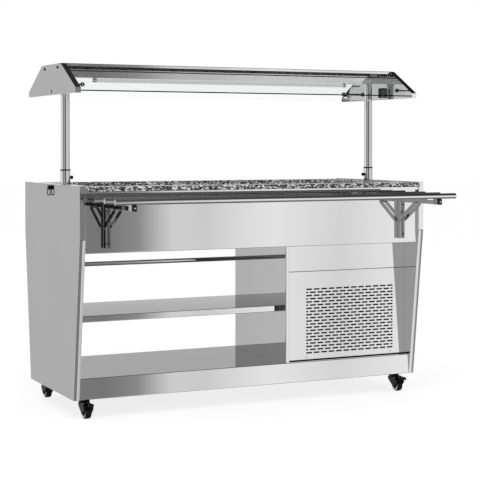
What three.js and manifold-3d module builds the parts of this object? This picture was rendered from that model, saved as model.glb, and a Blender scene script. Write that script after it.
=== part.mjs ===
// Mobile salad bar: a refrigerated well between two hexagonal side panels on braked casters,
// with a lift-up canopy on two posts and a fold-down tray slide.
// Millimetres, +Z up, +X to the right, the serving front faces -Y.
import * as THREE from 'three';
import { ConvexGeometry } from 'three/addons/geometries/ConvexGeometry.js';
import { mergeVertices } from 'three/addons/utils/BufferGeometryUtils.js';
import Module from 'manifold-3d';

const wasm = await Module();
wasm.setup();

// ---------- fits ----------
const FIT = 0.3;                 // gap between pieces that rest against each other
const RUN = 0.1;                 // radial clearance of a hole round a turning pin
const LOOSE = 0.5;               // radial clearance of a hole round a sliding post
const BURY = 1;                  // how far joined shapes reach into each other
const ROUND = 24;                // sides of a large round shape
const SLIM = 16;                 // sides of a bar or a small hole
const PIN = 10;                  // sides of a pin

// ---------- side panels ----------
const LENGTH = 1500;             // over the outer faces of the side panels
const PANEL_T = 24;
const PANEL_HALF = 350;          // half depth of the upper, upright part
const PANEL_FOOT_HALF = 275;     // half depth at the foot
const PANEL_TOP = 884;
const KINK_DROP = 200;           // from the top down to where the edges begin to slope inwards
const NOSE = 8;                  // how far the edge nose stands out, and its chamfer
const SHEET = 1.5;               // steel sheet of every folded panel

// ---------- casters ----------
const WHEEL_R = 25;
const WHEEL_HALF = 12.5;
const WHEEL_SIDES = 16;
const WHEEL_GAP = 3;
const HOOD_T = 3;
const TRAIL = 26;                // wheel axle behind the swivel axis
const HUB_R = 17;
const TREAD_STEP = 1.5;
const AXLE_R = 3;
const CHEEK_T = 3.5;
const HEAD_R = 21;
const HEAD_H = 22;
const STEM_R = 5;
const CASTER_RISE = 26;          // from the wheel's top to the mounting plane
const CASTER_INSET_X = 61.5;     // swivel axis from the panel's outer face
const CASTER_INSET_Y = 55;       // swivel axis from the panel's foot corner
const PEDAL_RISE = 8;
const PEDAL_BEHIND = 8;          // pedal pin behind the wheel axle
const PEDAL_REACH = 58;          // pedal tip behind the wheel axle
const PEDAL_HALF = 11;
const PEDAL_T = 5;
const PEDAL_PIN_R = 2.5;

// ---------- base ----------
const DECK_TOP = 157;
const DECK_REAR_SETBACK = 15;    // setbacks along Y are from the panels' foot corners
const DECK_RETURN = 85;          // bottom flange the casters are fixed to

// ---------- open bay ----------
const SHELF_TOP = 386;
const SHELF_SETBACK = 55;
const SHELF_REAR_SETBACK = 70;
const SHELF_LIP = 25;
const SHELF_HEM = 10;
const BAY_WIDTH = 604;           // compressor bay, from the divider to the right panel's outer face
const DIVIDER_SETBACK = 3;
const DIVIDER_REAR_SETBACK = 67;
const DIVIDER_FLANGE = 17.5;
const RAIL_R = 9.5;
const RAIL_INSET = 13;           // rail axis in front of the shelf's rear edge
const RAIL_DROP = 86;            // rail axis under the well body

// ---------- well body ----------
const WORKTOP_DROP = 3;          // worktop under the side panels' tops
const WORKTOP_T = 18;
const WORKTOP_NOSE = 10;         // worktop edge beyond the side panels
const BODY_H = 249;              // from the well body's foot to the worktop's top
const OPENING_BESIDE_POST = 7.5; // from a post's surface to the cut-out
const OPENING_RIM_Y = 81;        // from the fascia's face to the cut-out
const OPENING_R = 12;
const LEDGE = 8;                 // rim the food pans rest on
const FRAME_H = 12;
const FRAME_NOSE = 10;           // frame strip beyond the fascia
const FASCIA_SETBACK = 14;       // fascia behind the side panels' edges
const WELL_DEPTH = 204;
const WELL_RIM = 12;
const DRAIN_FROM_DIVIDER = 324;
const DRAIN_R = 14;
const DRAIN_WALL = 2;
const DRAIN_DROP = 24;

// ---------- compressor bay ----------
const BAY_SETBACK = 33;
const SEAM_DROP = 112;           // seam under the well body
const SEAM_GAP = 1;
const UPPER_LIP = 12;
const GRILLE_LIFT = 3.5;         // grille panel above the deck
const GRILLE_EDGE = 15;
const SLOT_L = 27;
const SLOT_H = 5;
const SLOT_PITCH = 35;
const ROW_PITCH = 13;
const SLOT_SIDE_MARGIN = 57;     // least margin of the slot field at the right, and its margins
const SLOT_LEFT_MARGIN = 91.4;
const SLOT_FOOT_MARGIN = 26.5;
const SLOT_TOP_MARGIN = 72;
const LOUVRE_L = 300;
const LOUVRE_H = 8;
const LOUVRE_PITCH = 40;
const LOUVRE_TOP_MARGIN = 82;
const GLAND_FROM_SIDE = 90;
const GLAND_RISE = 53;
const GLAND_R = 11;
const GLAND_BORE = 5;
const GLAND_L = 14;

// ---------- cooling unit ----------
const COIL_FROM_DIVIDER = 119;
const COIL_W = 210;
const COIL_H = 230;
const COIL_SETBACK = 37;         // coil behind the grille's face
const COIL_D = 55;
const FIN_T = 1.2;
const FINS = 18;
const COIL_TUBE_R = 4;
const COIL_BEND = 14;
const FAN_R = 95;
const FAN_HUB_R = 20;
const FAN_HUB_L = 18;
const FAN_BEHIND_COIL = 30;
const BLADES = 5;
const SHAFT_R = 4;
const MOTOR_R = 32;
const MOTOR_L = 50;
const POT_FROM_DIVIDER = 464;
const POT_Y = 20;
const POT_R = 62;
const POT_H = 175;
const POT_FLANGE_R = 71;
const POT_FLANGE_H = 10;
const POT_COVE_H = 18;           // foot of the straight wall
const POT_WALL_H = 122;          // top of the straight wall
const POT_BROW_R = 58;
const POT_BROW_H = 150;
const POT_CROWN_R = 37;
const POT_CROWN_H = 170;

// ---------- posts and sockets ----------
const POST_INSET = 60;           // post axis from the side panel's outer face
const POST_R = 17.5;
const POST_WALL = 2;
const POST_DEPTH = 197;          // how far the posts reach below the worktop
const SOCKET_WALL = 1.6;
const SOCKET_H = 60;
const RING_H = 5;                // ring round the socket's mouth
const RING_LIP = 0.8;
const SCREW_RISE = 28;
const SCREW_R = 3;
const SCREW_HEAD_R = 7;
const SCREW_HEAD_L = 11;
const SCREW_LOBES = 8;

// ---------- canopy ----------
const CANOPY_INSET = 2;          // end plates inside the side panels' outer faces
const CANOPY_RISE = 351;         // canopy's lower edge above the worktop
const CANOPY_H = 120;
const SHOULDER_H = 21;           // height of the short upright edge
const CANOPY_HALF_TOP = 120;
const CANOPY_HALF_FOOT = 298;
const END_FLANGE = 22;
const LIP_DROP = 14;
const BEAM_HALF = 38;
const BEAM_H = 52.5;
const BEAM_WALL = 3.5;
const GROOVE_RISE = 25;
const GROOVE_H = 4;
const GROOVE_D = 2;
const TAB_Y = 82;
const TAB_DROP = 15;
const TAB_W = 7;
const TAB_H = 12;
const BOLT_RISE = 15;
const BOLT_R = 3.5;
const LAMP_R = 7.8;
const LAMP_INSET = 172;
const GLASS_T = 5;
const GLASS_TOP_INSET = 2;       // pane's lower face from the end plate's upper corner
const GLASS_TOP_DROP = 18;
const GLASS_FOOT_INSET = 8;
const GLASS_FOOT_RISE = 7;
const KNOB_FROM_EDGE = 71;
const KNOB_R = 8;
const KNOB_L = 16;
const KNOB_INSET = 60;           // from the plate's outer face to the knob's tip
const KNOB_STUD_R = 3;
const SWITCH_Y = -30;
const SWITCH_RISE = 30;
const SWITCH_W = 34;
const SWITCH_H = 52;
const SWITCH_D = 16;
const ROCKER_W = 20;
const ROCKER_H = 30;
const ROCKER_D = 4;
const ROCKER_THROW = 3;            // depth behind the rocker for its inward half
const ROCKER_TILT = Math.PI / 30;  // the rocker rests tilted, its upper half out

// ---------- tray slide ----------
const TRAY_TUBE_R = 11;
const TRAY_TUBE_WALL = 1.5;
const TRAY_INSET = 34.5;         // tube ends from the side panels' outer faces
const TRAY_DROP = 46;            // tube axes under the worktop
const TRAY_REACH = 61;           // first tube in front of the arm's hinge
const TRAY_PITCH = 110;
const TRAY_TUBES = 3;
const BRACKET_INSET = 107.5;
const CHANNEL_WALL = 1.8;
const CHANNEL_GAP = 0.7;         // arm to channel, on each side
const CHANNEL_D = 25;
const CHANNEL_H = 168;
const CHANNEL_ABOVE = 10;        // channel's top above the arm's hinge
const HINGE_OUT = 16;            // arm's hinge in front of the fascia
const ARM_HALF_W = 7.5;
const ARM_HALF_H = 8;
const ARM_TAIL = 8;
const ARM_BEYOND = 5;            // arm's tip beyond the last tube's axis
const END_CAP_L = 20;            // plug that closes the arm's tip
const END_CAP_LIP = 1;           // plug and collar beyond the arm's sides and foot
const END_CAP_DISH = 2;          // shallow dish in the plug's face
const COLLAR_L = 35;
const COLLAR_GAP = 4;            // collar to plug
const COLLAR_H = 25;
const SADDLE_HALF = 8;
const SADDLE_H = 6;
const ARM_PIN_R = 3;
const BRACE_DROP = 82.5;         // brace pivot below the arm's hinge
const BRACE_REACH = 116;
const BRACE_HALF_H = 5;
const BRACE_T = 3;
const BRACE_GAP = 1;             // brace bar to channel

// ---------- cord hook on the left panel ----------
const HOOK_DROP = 5;
const HOOK_BLOCK_H = 15;
const HOOK_RING_H = 25;
const HOOK_REACH = 20;
const HOOK_W = 24;
const HOOK_BAR = 5;

// ---------- places that follow from the sizes ----------
const PANEL_FOOT = 2 * WHEEL_R + CASTER_RISE;
const PANEL_KINK = PANEL_TOP - KINK_DROP;
const HALF_LENGTH = LENGTH / 2;
const FRONT = -PANEL_FOOT_HALF;
const REAR = PANEL_FOOT_HALF;
const DECK_REAR = REAR - DECK_REAR_SETBACK;
const SHELF_FRONT = FRONT + SHELF_SETBACK;
const SHELF_REAR = REAR - SHELF_REAR_SETBACK;
const DIVIDER_X = HALF_LENGTH - BAY_WIDTH;
const DIVIDER_FRONT = FRONT + DIVIDER_SETBACK;
const DIVIDER_REAR = REAR - DIVIDER_REAR_SETBACK;
const WORKTOP_TOP = PANEL_TOP - WORKTOP_DROP;
const WORKTOP_HALF = PANEL_HALF + WORKTOP_NOSE;
const FASCIA_FACE = PANEL_HALF - FASCIA_SETBACK;
const FASCIA_FOOT = WORKTOP_TOP - BODY_H;
const FRAME_HALF = FASCIA_FACE + FRAME_NOSE;
const RAIL_Y = SHELF_REAR - RAIL_INSET;
const RAIL_Z = FASCIA_FOOT - RAIL_DROP;
const POST_X = HALF_LENGTH - POST_INSET;
const OPENING_HALF_X = POST_X - POST_R - OPENING_BESIDE_POST;
const OPENING_HALF_Y = FASCIA_FACE - OPENING_RIM_Y;
const DRAIN_X = DIVIDER_X + DRAIN_FROM_DIVIDER;
const BAY_FACE = FRONT + BAY_SETBACK;
const SEAM_Z = FASCIA_FOOT - SEAM_DROP;
const GRILLE_FOOT = DECK_TOP + GRILLE_LIFT;
const GLAND_X = HALF_LENGTH - GLAND_FROM_SIDE;
const GLAND_Z = DECK_TOP + GLAND_RISE;
const LOUVRES = Math.floor((FASCIA_FOOT - LOUVRE_TOP_MARGIN - GLAND_Z) / LOUVRE_PITCH);
const COIL_LEFT = DIVIDER_X + COIL_FROM_DIVIDER;
const COIL_FRONT = BAY_FACE + COIL_SETBACK;
const FAN_Y = COIL_FRONT + COIL_D + FAN_BEHIND_COIL;
const POT_X = DIVIDER_X + POT_FROM_DIVIDER;
const POST_FOOT = WORKTOP_TOP - POST_DEPTH;
const SOCKET_R = POST_R + LOOSE + SOCKET_WALL;
const SCREW_Z = WORKTOP_TOP + SCREW_RISE;
const CANOPY_HALF = HALF_LENGTH - CANOPY_INSET;
const CANOPY_FOOT = WORKTOP_TOP + CANOPY_RISE;
const CANOPY_TOP = CANOPY_FOOT + CANOPY_H;
const CANOPY_SHOULDER = CANOPY_FOOT + SHOULDER_H;
const BEAM_FOOT = CANOPY_TOP - BEAM_H;
const GROOVE_Z = BEAM_FOOT + GROOVE_RISE;
const TAB_Z = CANOPY_TOP - TAB_DROP;
const BOLT_Z = CANOPY_FOOT + BOLT_RISE;
const LAMP_HALF = CANOPY_HALF - LAMP_INSET;
const GLASS_TOP_Y = CANOPY_HALF_TOP - GLASS_TOP_INSET;
const GLASS_TOP_Z = CANOPY_TOP - GLASS_TOP_DROP;
const GLASS_FOOT_Y = CANOPY_HALF_FOOT - GLASS_FOOT_INSET;
const GLASS_FOOT_Z = CANOPY_FOOT + GLASS_FOOT_RISE;
const KNOB_Y = CANOPY_HALF_FOOT - KNOB_FROM_EDGE;
const SWITCH_Z = CANOPY_FOOT + SWITCH_RISE;
const TRAY_HALF = HALF_LENGTH - TRAY_INSET;
const TRAY_Z = WORKTOP_TOP - TRAY_DROP;
const HINGE_Y = -FASCIA_FACE - HINGE_OUT;
const TRAY_FIRST_Y = HINGE_Y - TRAY_REACH;
const ARM_TIP_Y = TRAY_FIRST_Y - (TRAY_TUBES - 1) * TRAY_PITCH - ARM_BEYOND;
const ARM_Z = TRAY_Z - TRAY_TUBE_R - SADDLE_H - ARM_HALF_H;
const BRACKET_X = HALF_LENGTH - BRACKET_INSET;
const CHANNEL_HALF = ARM_HALF_W + CHANNEL_GAP + CHANNEL_WALL;
const CHANNEL_TOP = ARM_Z + CHANNEL_ABOVE;
const CHANNEL_FOOT = CHANNEL_TOP - CHANNEL_H;
const BRACE_IN = CHANNEL_HALF + BRACE_GAP;
const BRACE_OUT = BRACE_IN + BRACE_T;
const BRACE_STUB = ARM_HALF_W + CHANNEL_GAP + 2 * FIT;
const HOOK_TOP = PANEL_TOP - HOOK_DROP;
const CASTER_X = HALF_LENGTH - CASTER_INSET_X;
const CASTER_Y = PANEL_FOOT_HALF - CASTER_INSET_Y;
const HOOD_R = WHEEL_R + WHEEL_GAP + HOOD_T;
const FORK_HALF = WHEEL_HALF + WHEEL_GAP + CHEEK_T;
const HEAD_FOOT = PANEL_FOOT - HEAD_H;
const PEDAL_Y = -TRAIL - PEDAL_BEHIND;
const PEDAL_Z = HEAD_FOOT + PEDAL_RISE;
const PEDAL_TIP = -TRAIL - PEDAL_REACH;

// ---------- materials ----------
const finish = (color, roughness, metalness) => new THREE.MeshStandardMaterial({ color, roughness, metalness });
const brushed = () => finish(0xa9abad, 0.34, 1);
const polished = () => finish(0xc9cbcd, 0.12, 1);
const chrome = () => finish(0xd8dadc, 0.08, 1);
const stone = () => finish(0x55555a, 0.35, 0);
const blackPlastic = () => finish(0x141414, 0.45, 0);
const blackPaint = () => finish(0x1c1c1e, 0.4, 0.2);
const alloy = () => finish(0x9a9da0, 0.45, 1);
const casingSteel = () => finish(0x9fa2a5, 0.4, 1);
const lampWhite = () => finish(0xe6e8ea, 0.3, 0);
const clearPane = () => {
  const pane = finish(0xf2f6f6, 0.05, 0);
  pane.transparent = true;
  pane.opacity = 0.25;
  return pane;
};

// ---------- solid tools ----------
const toSolid = (geometry) => {
  const bare = geometry.clone();
  bare.deleteAttribute('normal');
  bare.deleteAttribute('uv');
  const welded = mergeVertices(bare, 1e-4);
  const index = new Uint32Array(welded.index.array);
  const positions = new Float32Array(welded.attributes.position.array);
  return new wasm.Manifold(new wasm.Mesh({ numProp: 3, vertProperties: positions, triVerts: index }));
};
const toGeometry = (solid) => {
  const mesh = solid.getMesh();
  const geometry = new THREE.BufferGeometry();
  geometry.setAttribute('position', new THREE.BufferAttribute(new Float32Array(mesh.vertProperties), 3));
  geometry.setIndex(new THREE.BufferAttribute(new Uint32Array(mesh.triVerts), 1));
  geometry.computeVertexNormals();
  return geometry;
};
const join = (shapes) => toGeometry(shapes.map(toSolid).reduce((sum, part) => sum.add(part)));
const cut = (body, tools) => toGeometry(tools.map(toSolid).reduce((rest, tool) => rest.subtract(tool), toSolid(body)));

// ---------- shapes ----------
const box = (x, y, z) => {
  const geometry = new THREE.BoxGeometry(x[1] - x[0], y[1] - y[0], z[1] - z[0]);
  geometry.translate((x[0] + x[1]) / 2, (y[0] + y[1]) / 2, (z[0] + z[1]) / 2);
  return geometry;
};
const span = (half) => [-half, half];

// round bar along an axis, between two stations, through the point (p, q) of the other two axes in XYZ order
const bar = (axis, radius, stations, p, q, segments = SLIM) => {
  const geometry = new THREE.CylinderGeometry(radius, radius, stations[1] - stations[0], segments);
  const middle = (stations[0] + stations[1]) / 2;
  if (axis === 'x') {
    geometry.rotateZ(-Math.PI / 2);
    geometry.translate(middle, p, q);
  } else if (axis === 'y') {
    geometry.translate(p, middle, q);
  } else {
    geometry.rotateX(Math.PI / 2);
    geometry.translate(p, q, middle);
  }
  return geometry;
};
const pipe = (axis, radius, wall, stations, p, q, segments = ROUND) => cut(
  bar(axis, radius, stations, p, q, segments),
  [bar(axis, radius - wall, [stations[0] - BURY, stations[1] + BURY], p, q, segments)],
);

const outline = (points) => new THREE.Shape(points.map(([u, v]) => new THREE.Vector2(u, v)));
// outline in the YZ plane drawn out along X
const acrossX = (shape, x, curveSegments = 4) => {
  const geometry = new THREE.ExtrudeGeometry(shape, { depth: x[1] - x[0], bevelEnabled: false, curveSegments });
  const turn = new THREE.Matrix4().makeBasis(
    new THREE.Vector3(0, 1, 0),
    new THREE.Vector3(0, 0, 1),
    new THREE.Vector3(1, 0, 0),
  );
  geometry.applyMatrix4(turn);
  geometry.translate(x[0], 0, 0);
  return geometry;
};
// outline in the XY plane drawn up along Z
const upZ = (shape, z, curveSegments = 3) => {
  const geometry = new THREE.ExtrudeGeometry(shape, { depth: z[1] - z[0], bevelEnabled: false, curveSegments });
  geometry.translate(0, 0, z[0]);
  return geometry;
};
const turned = (profile, segments = ROUND) => {
  const geometry = new THREE.LatheGeometry(profile.map(([r, h]) => new THREE.Vector2(r, h)), segments);
  geometry.rotateX(Math.PI / 2);
  return geometry;
};
const roundedRectangle = (halfX, halfY, r) => {
  const path = new THREE.Shape();
  path.moveTo(halfX - r, -halfY);
  path.absarc(halfX - r, -halfY + r, r, -Math.PI / 2, 0, false);
  path.absarc(halfX - r, halfY - r, r, 0, Math.PI / 2, false);
  path.absarc(-halfX + r, halfY - r, r, Math.PI / 2, Math.PI, false);
  path.absarc(-halfX + r, -halfY + r, r, Math.PI, Math.PI * 1.5, false);
  return path;
};
// convex outline drawn in by a distance, every side moved along its own normal
const inset = (points, distance) => points.map((point, i) => {
  const before = points[(i + points.length - 1) % points.length];
  const after = points[(i + 1) % points.length];
  const side = (a, b) => {
    const length = Math.hypot(b[0] - a[0], b[1] - a[1]);
    return [-(b[1] - a[1]) / length, (b[0] - a[0]) / length];
  };
  const n = side(before, point);
  const m = side(point, after);
  const scale = distance / (1 + n[0] * m[0] + n[1] * m[1]);
  return [point[0] + (n[0] + m[0]) * scale, point[1] + (n[1] + m[1]) * scale];
});
const mirrored = (geometry) => {
  const copy = geometry.clone();
  copy.scale(-1, 1, 1);
  const index = copy.index ? Array.from(copy.index.array) : Array.from({ length: copy.attributes.position.count }, (_, i) => i);
  for (let i = 0; i < index.length; i += 3) {
    const keep = index[i];
    index[i] = index[i + 1];
    index[i + 1] = keep;
  }
  copy.setIndex(index);
  copy.computeVertexNormals();
  return copy;
};

// ---------- assembly ----------
const model = new THREE.Group();
model.name = 'mobile_salad_bar';
const add = (name, geometry, material, parent = model) => {
  const mesh = new THREE.Mesh(geometry, material);
  mesh.name = name;
  parent.add(mesh);
  return mesh;
};
const group = (name, x = 0, y = 0, z = 0) => {
  const node = new THREE.Group();
  node.name = name;
  node.position.set(x, y, z);
  model.add(node);
  return node;
};

// ---------- side panels ----------
const PANEL_INNER = LENGTH / 2 - PANEL_T;
const BODY_HALF = PANEL_INNER - FIT;         // half length of everything fitted between the panels
const panelOutline = [
  [-PANEL_FOOT_HALF, PANEL_FOOT],
  [PANEL_FOOT_HALF, PANEL_FOOT],
  [PANEL_HALF, PANEL_KINK],
  [PANEL_HALF, PANEL_TOP],
  [-PANEL_HALF, PANEL_TOP],
  [-PANEL_HALF, PANEL_KINK],
];
const nose = (side) => {
  const points = [];
  for (const [half, z] of [[PANEL_HALF, PANEL_KINK], [PANEL_FOOT_HALF, PANEL_FOOT]]) {
    points.push(new THREE.Vector3(PANEL_INNER, side * half, z));
    points.push(new THREE.Vector3(PANEL_INNER + PANEL_T, side * half, z));
    points.push(new THREE.Vector3(PANEL_INNER + NOSE, side * (half + NOSE), z));
    points.push(new THREE.Vector3(PANEL_INNER + PANEL_T - NOSE, side * (half + NOSE), z));
    points.push(new THREE.Vector3(PANEL_INNER + NOSE, side * (half - BURY), z));
    points.push(new THREE.Vector3(PANEL_INNER + PANEL_T - NOSE, side * (half - BURY), z));
  }
  return new ConvexGeometry(points);
};
const hollowOutline = inset(panelOutline, SHEET);
hollowOutline[0] = [hollowOutline[0][0], PANEL_FOOT - BURY];
hollowOutline[1] = [hollowOutline[1][0], PANEL_FOOT - BURY];
const sidePanel = cut(
  join([
    acrossX(outline(panelOutline), [PANEL_INNER, PANEL_INNER + PANEL_T]),
    nose(-1),
    nose(1),
  ]),
  [acrossX(outline(hollowOutline), [PANEL_INNER + SHEET, PANEL_INNER + PANEL_T - SHEET])],
);
add('side_panel_right', sidePanel, brushed());
add('side_panel_left', mirrored(sidePanel), brushed());

// black cord hook: a block on the panel with a ring hanging from it
const hookRing = cut(
  box([0, HOOK_REACH], [-HOOK_BAR, HOOK_BAR], [HOOK_TOP - HOOK_BLOCK_H - HOOK_RING_H, HOOK_TOP - HOOK_BLOCK_H + BURY]),
  [box(
    [HOOK_BAR, HOOK_REACH - HOOK_BAR],
    [-HOOK_BAR - BURY, HOOK_BAR + BURY],
    [HOOK_TOP - HOOK_BLOCK_H - HOOK_RING_H + HOOK_BAR, HOOK_TOP - HOOK_BLOCK_H - HOOK_BAR],
  )],
);
const hook = join([
  box([0, HOOK_REACH], span(HOOK_W / 2), [HOOK_TOP - HOOK_BLOCK_H, HOOK_TOP]),
  hookRing,
]);
hook.translate(-LENGTH / 2 - FIT - HOOK_REACH, 0, 0);
add('cord_hook', hook, blackPlastic());

// ---------- base deck ----------
const deckSection = [
  [FRONT, PANEL_FOOT],
  [FRONT + DECK_RETURN, PANEL_FOOT],
  [FRONT + DECK_RETURN, PANEL_FOOT + 2 * SHEET],
  [FRONT + SHEET, PANEL_FOOT + 2 * SHEET],
  [FRONT + SHEET, DECK_TOP - SHEET],
  [DECK_REAR - SHEET, DECK_TOP - SHEET],
  [DECK_REAR - SHEET, PANEL_FOOT + 2 * SHEET],
  [DECK_REAR - DECK_RETURN, PANEL_FOOT + 2 * SHEET],
  [DECK_REAR - DECK_RETURN, PANEL_FOOT],
  [DECK_REAR, PANEL_FOOT],
  [DECK_REAR, DECK_TOP],
  [FRONT, DECK_TOP],
];
const stemHoles = [-1, 1].flatMap((sx) => [-1, 1].map((sy) => bar(
  'z', STEM_R + 2 * RUN, [PANEL_FOOT - BURY, PANEL_FOOT + 2 * SHEET + BURY], sx * CASTER_X, sy * CASTER_Y,
)));
add('base_deck', cut(acrossX(outline(deckSection), span(BODY_HALF)), stemHoles), brushed());

// ---------- open bay: shelf, divider, rear rail ----------
const bayLeft = -BODY_HALF;
const shelfSection = [
  [SHELF_FRONT, SHELF_TOP - SHELF_LIP],
  [SHELF_FRONT + SHELF_HEM, SHELF_TOP - SHELF_LIP],
  [SHELF_FRONT + SHELF_HEM, SHELF_TOP - SHELF_LIP + SHEET],
  [SHELF_FRONT + SHEET, SHELF_TOP - SHELF_LIP + SHEET],
  [SHELF_FRONT + SHEET, SHELF_TOP - SHEET],
  [SHELF_REAR - SHEET, SHELF_TOP - SHEET],
  [SHELF_REAR - SHEET, SHELF_TOP - SHELF_LIP + SHEET],
  [SHELF_REAR - SHELF_HEM, SHELF_TOP - SHELF_LIP + SHEET],
  [SHELF_REAR - SHELF_HEM, SHELF_TOP - SHELF_LIP],
  [SHELF_REAR, SHELF_TOP - SHELF_LIP],
  [SHELF_REAR, SHELF_TOP],
  [SHELF_FRONT, SHELF_TOP],
];
add('middle_shelf', acrossX(outline(shelfSection), [bayLeft, DIVIDER_X - FIT]), brushed());

const dividerSection = [
  [DIVIDER_X, DIVIDER_FRONT],
  [DIVIDER_X + DIVIDER_FLANGE, DIVIDER_FRONT],
  [DIVIDER_X + DIVIDER_FLANGE, BAY_FACE + GRILLE_EDGE],
  [DIVIDER_X + DIVIDER_FLANGE - SHEET, BAY_FACE + GRILLE_EDGE],
  [DIVIDER_X + DIVIDER_FLANGE - SHEET, DIVIDER_FRONT + SHEET],
  [DIVIDER_X + SHEET, DIVIDER_FRONT + SHEET],
  [DIVIDER_X + SHEET, DIVIDER_REAR - SHEET],
  [DIVIDER_X + DIVIDER_FLANGE, DIVIDER_REAR - SHEET],
  [DIVIDER_X + DIVIDER_FLANGE, DIVIDER_REAR],
  [DIVIDER_X, DIVIDER_REAR],
];
add('divider_panel', upZ(outline(dividerSection), [DECK_TOP + FIT, FASCIA_FOOT - FIT]), polished());
add('rear_rail', pipe('x', RAIL_R, SHEET, [bayLeft, DIVIDER_X - FIT], RAIL_Y, RAIL_Z), chrome());

// ---------- well body ----------
const frameTop = WORKTOP_TOP - WORKTOP_T - FIT;
const frameFoot = frameTop - FRAME_H;
const rimTop = frameFoot - FIT;
const socketHoles = (z) => [-1, 1].map((s) => bar('z', SOCKET_R + FIT, z, s * POST_X, 0, ROUND));
const worktop = upZ(
  (() => {
    const slab = outline([
      [-BODY_HALF, -WORKTOP_HALF],
      [BODY_HALF, -WORKTOP_HALF],
      [BODY_HALF, WORKTOP_HALF],
      [-BODY_HALF, WORKTOP_HALF],
    ]);
    slab.holes.push(roundedRectangle(OPENING_HALF_X, OPENING_HALF_Y, OPENING_R));
    return slab;
  })(),
  [WORKTOP_TOP - WORKTOP_T, WORKTOP_TOP],
);
add('worktop', cut(worktop, socketHoles([WORKTOP_TOP - WORKTOP_T - BURY, WORKTOP_TOP + BURY])), stone());

const frameSlab = outline([
  [-BODY_HALF, -FRAME_HALF],
  [BODY_HALF, -FRAME_HALF],
  [BODY_HALF, FRAME_HALF],
  [-BODY_HALF, FRAME_HALF],
]);
frameSlab.holes.push(roundedRectangle(OPENING_HALF_X - LEDGE, OPENING_HALF_Y - LEDGE, OPENING_R));
const frameHollow = outline([
  [-BODY_HALF + SHEET, -FRAME_HALF + SHEET],
  [BODY_HALF - SHEET, -FRAME_HALF + SHEET],
  [BODY_HALF - SHEET, FRAME_HALF - SHEET],
  [-BODY_HALF + SHEET, FRAME_HALF - SHEET],
]);
frameHollow.holes.push(roundedRectangle(OPENING_HALF_X - LEDGE + SHEET, OPENING_HALF_Y - LEDGE + SHEET, OPENING_R + SHEET));
add(
  'worktop_frame',
  cut(
    upZ(frameSlab, [frameFoot, frameTop]),
    [upZ(frameHollow, [frameFoot - BURY, frameTop - SHEET]), ...socketHoles([frameFoot - BURY, frameTop + BURY])],
  ),
  polished(),
);

const wellHalfX = OPENING_HALF_X - LEDGE;
const wellHalfY = OPENING_HALF_Y - LEDGE;
const wellFloor = rimTop - WELL_DEPTH;
const wellTub = box(span(wellHalfX + SHEET), span(wellHalfY + SHEET), [wellFloor - SHEET, rimTop]);
const wellRim = box(span(wellHalfX + WELL_RIM), span(wellHalfY + WELL_RIM), [rimTop - SHEET, rimTop]);
const drainPipe = bar('z', DRAIN_R, [FASCIA_FOOT - DRAIN_DROP, wellFloor - SHEET / 2], DRAIN_X, 0);
const wellHollow = box(span(wellHalfX), span(wellHalfY), [wellFloor, rimTop + BURY]);
const drainHollow = bar('z', DRAIN_R - DRAIN_WALL, [FASCIA_FOOT - DRAIN_DROP - BURY, wellFloor + BURY], DRAIN_X, 0);
add('cold_well', cut(join([wellTub, wellRim, drainPipe]), [wellHollow, drainHollow]), brushed());

const casingHalf = FASCIA_FACE - SHEET - FIT;
const casingTop = rimTop - SHEET - FIT;
const casingFloor = FASCIA_FOOT + SHEET;
add(
  'well_casing',
  cut(
    box(span(BODY_HALF), span(casingHalf), [FASCIA_FOOT, casingTop]),
    [
      box(span(BODY_HALF - SHEET), span(casingHalf - SHEET), [casingFloor, casingTop + BURY]),
      bar('z', DRAIN_R + FIT, [FASCIA_FOOT - BURY, wellFloor], DRAIN_X, 0),
    ],
  ),
  casingSteel(),
);
const fascia = () => box(span(BODY_HALF), [FASCIA_FACE - SHEET, FASCIA_FACE], [FASCIA_FOOT, rimTop]);
add('rear_fascia', fascia(), polished());
const frontFascia = fascia();
frontFascia.translate(0, SHEET - 2 * FASCIA_FACE, 0);
add('front_fascia', frontFascia, polished());

// ---------- compressor bay ----------
const bayX = [DIVIDER_X + DIVIDER_FLANGE + 2 * FIT, BODY_HALF];
const upperSection = [
  [BAY_FACE, SEAM_Z + SEAM_GAP / 2],
  [BAY_FACE + UPPER_LIP, SEAM_Z + SEAM_GAP / 2],
  [BAY_FACE + UPPER_LIP, SEAM_Z + SEAM_GAP / 2 + SHEET],
  [BAY_FACE + SHEET, SEAM_Z + SEAM_GAP / 2 + SHEET],
  [BAY_FACE + SHEET, FASCIA_FOOT - FIT],
  [BAY_FACE, FASCIA_FOOT - FIT],
];
add('bay_upper_panel', acrossX(outline(upperSection), bayX), polished());

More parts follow.
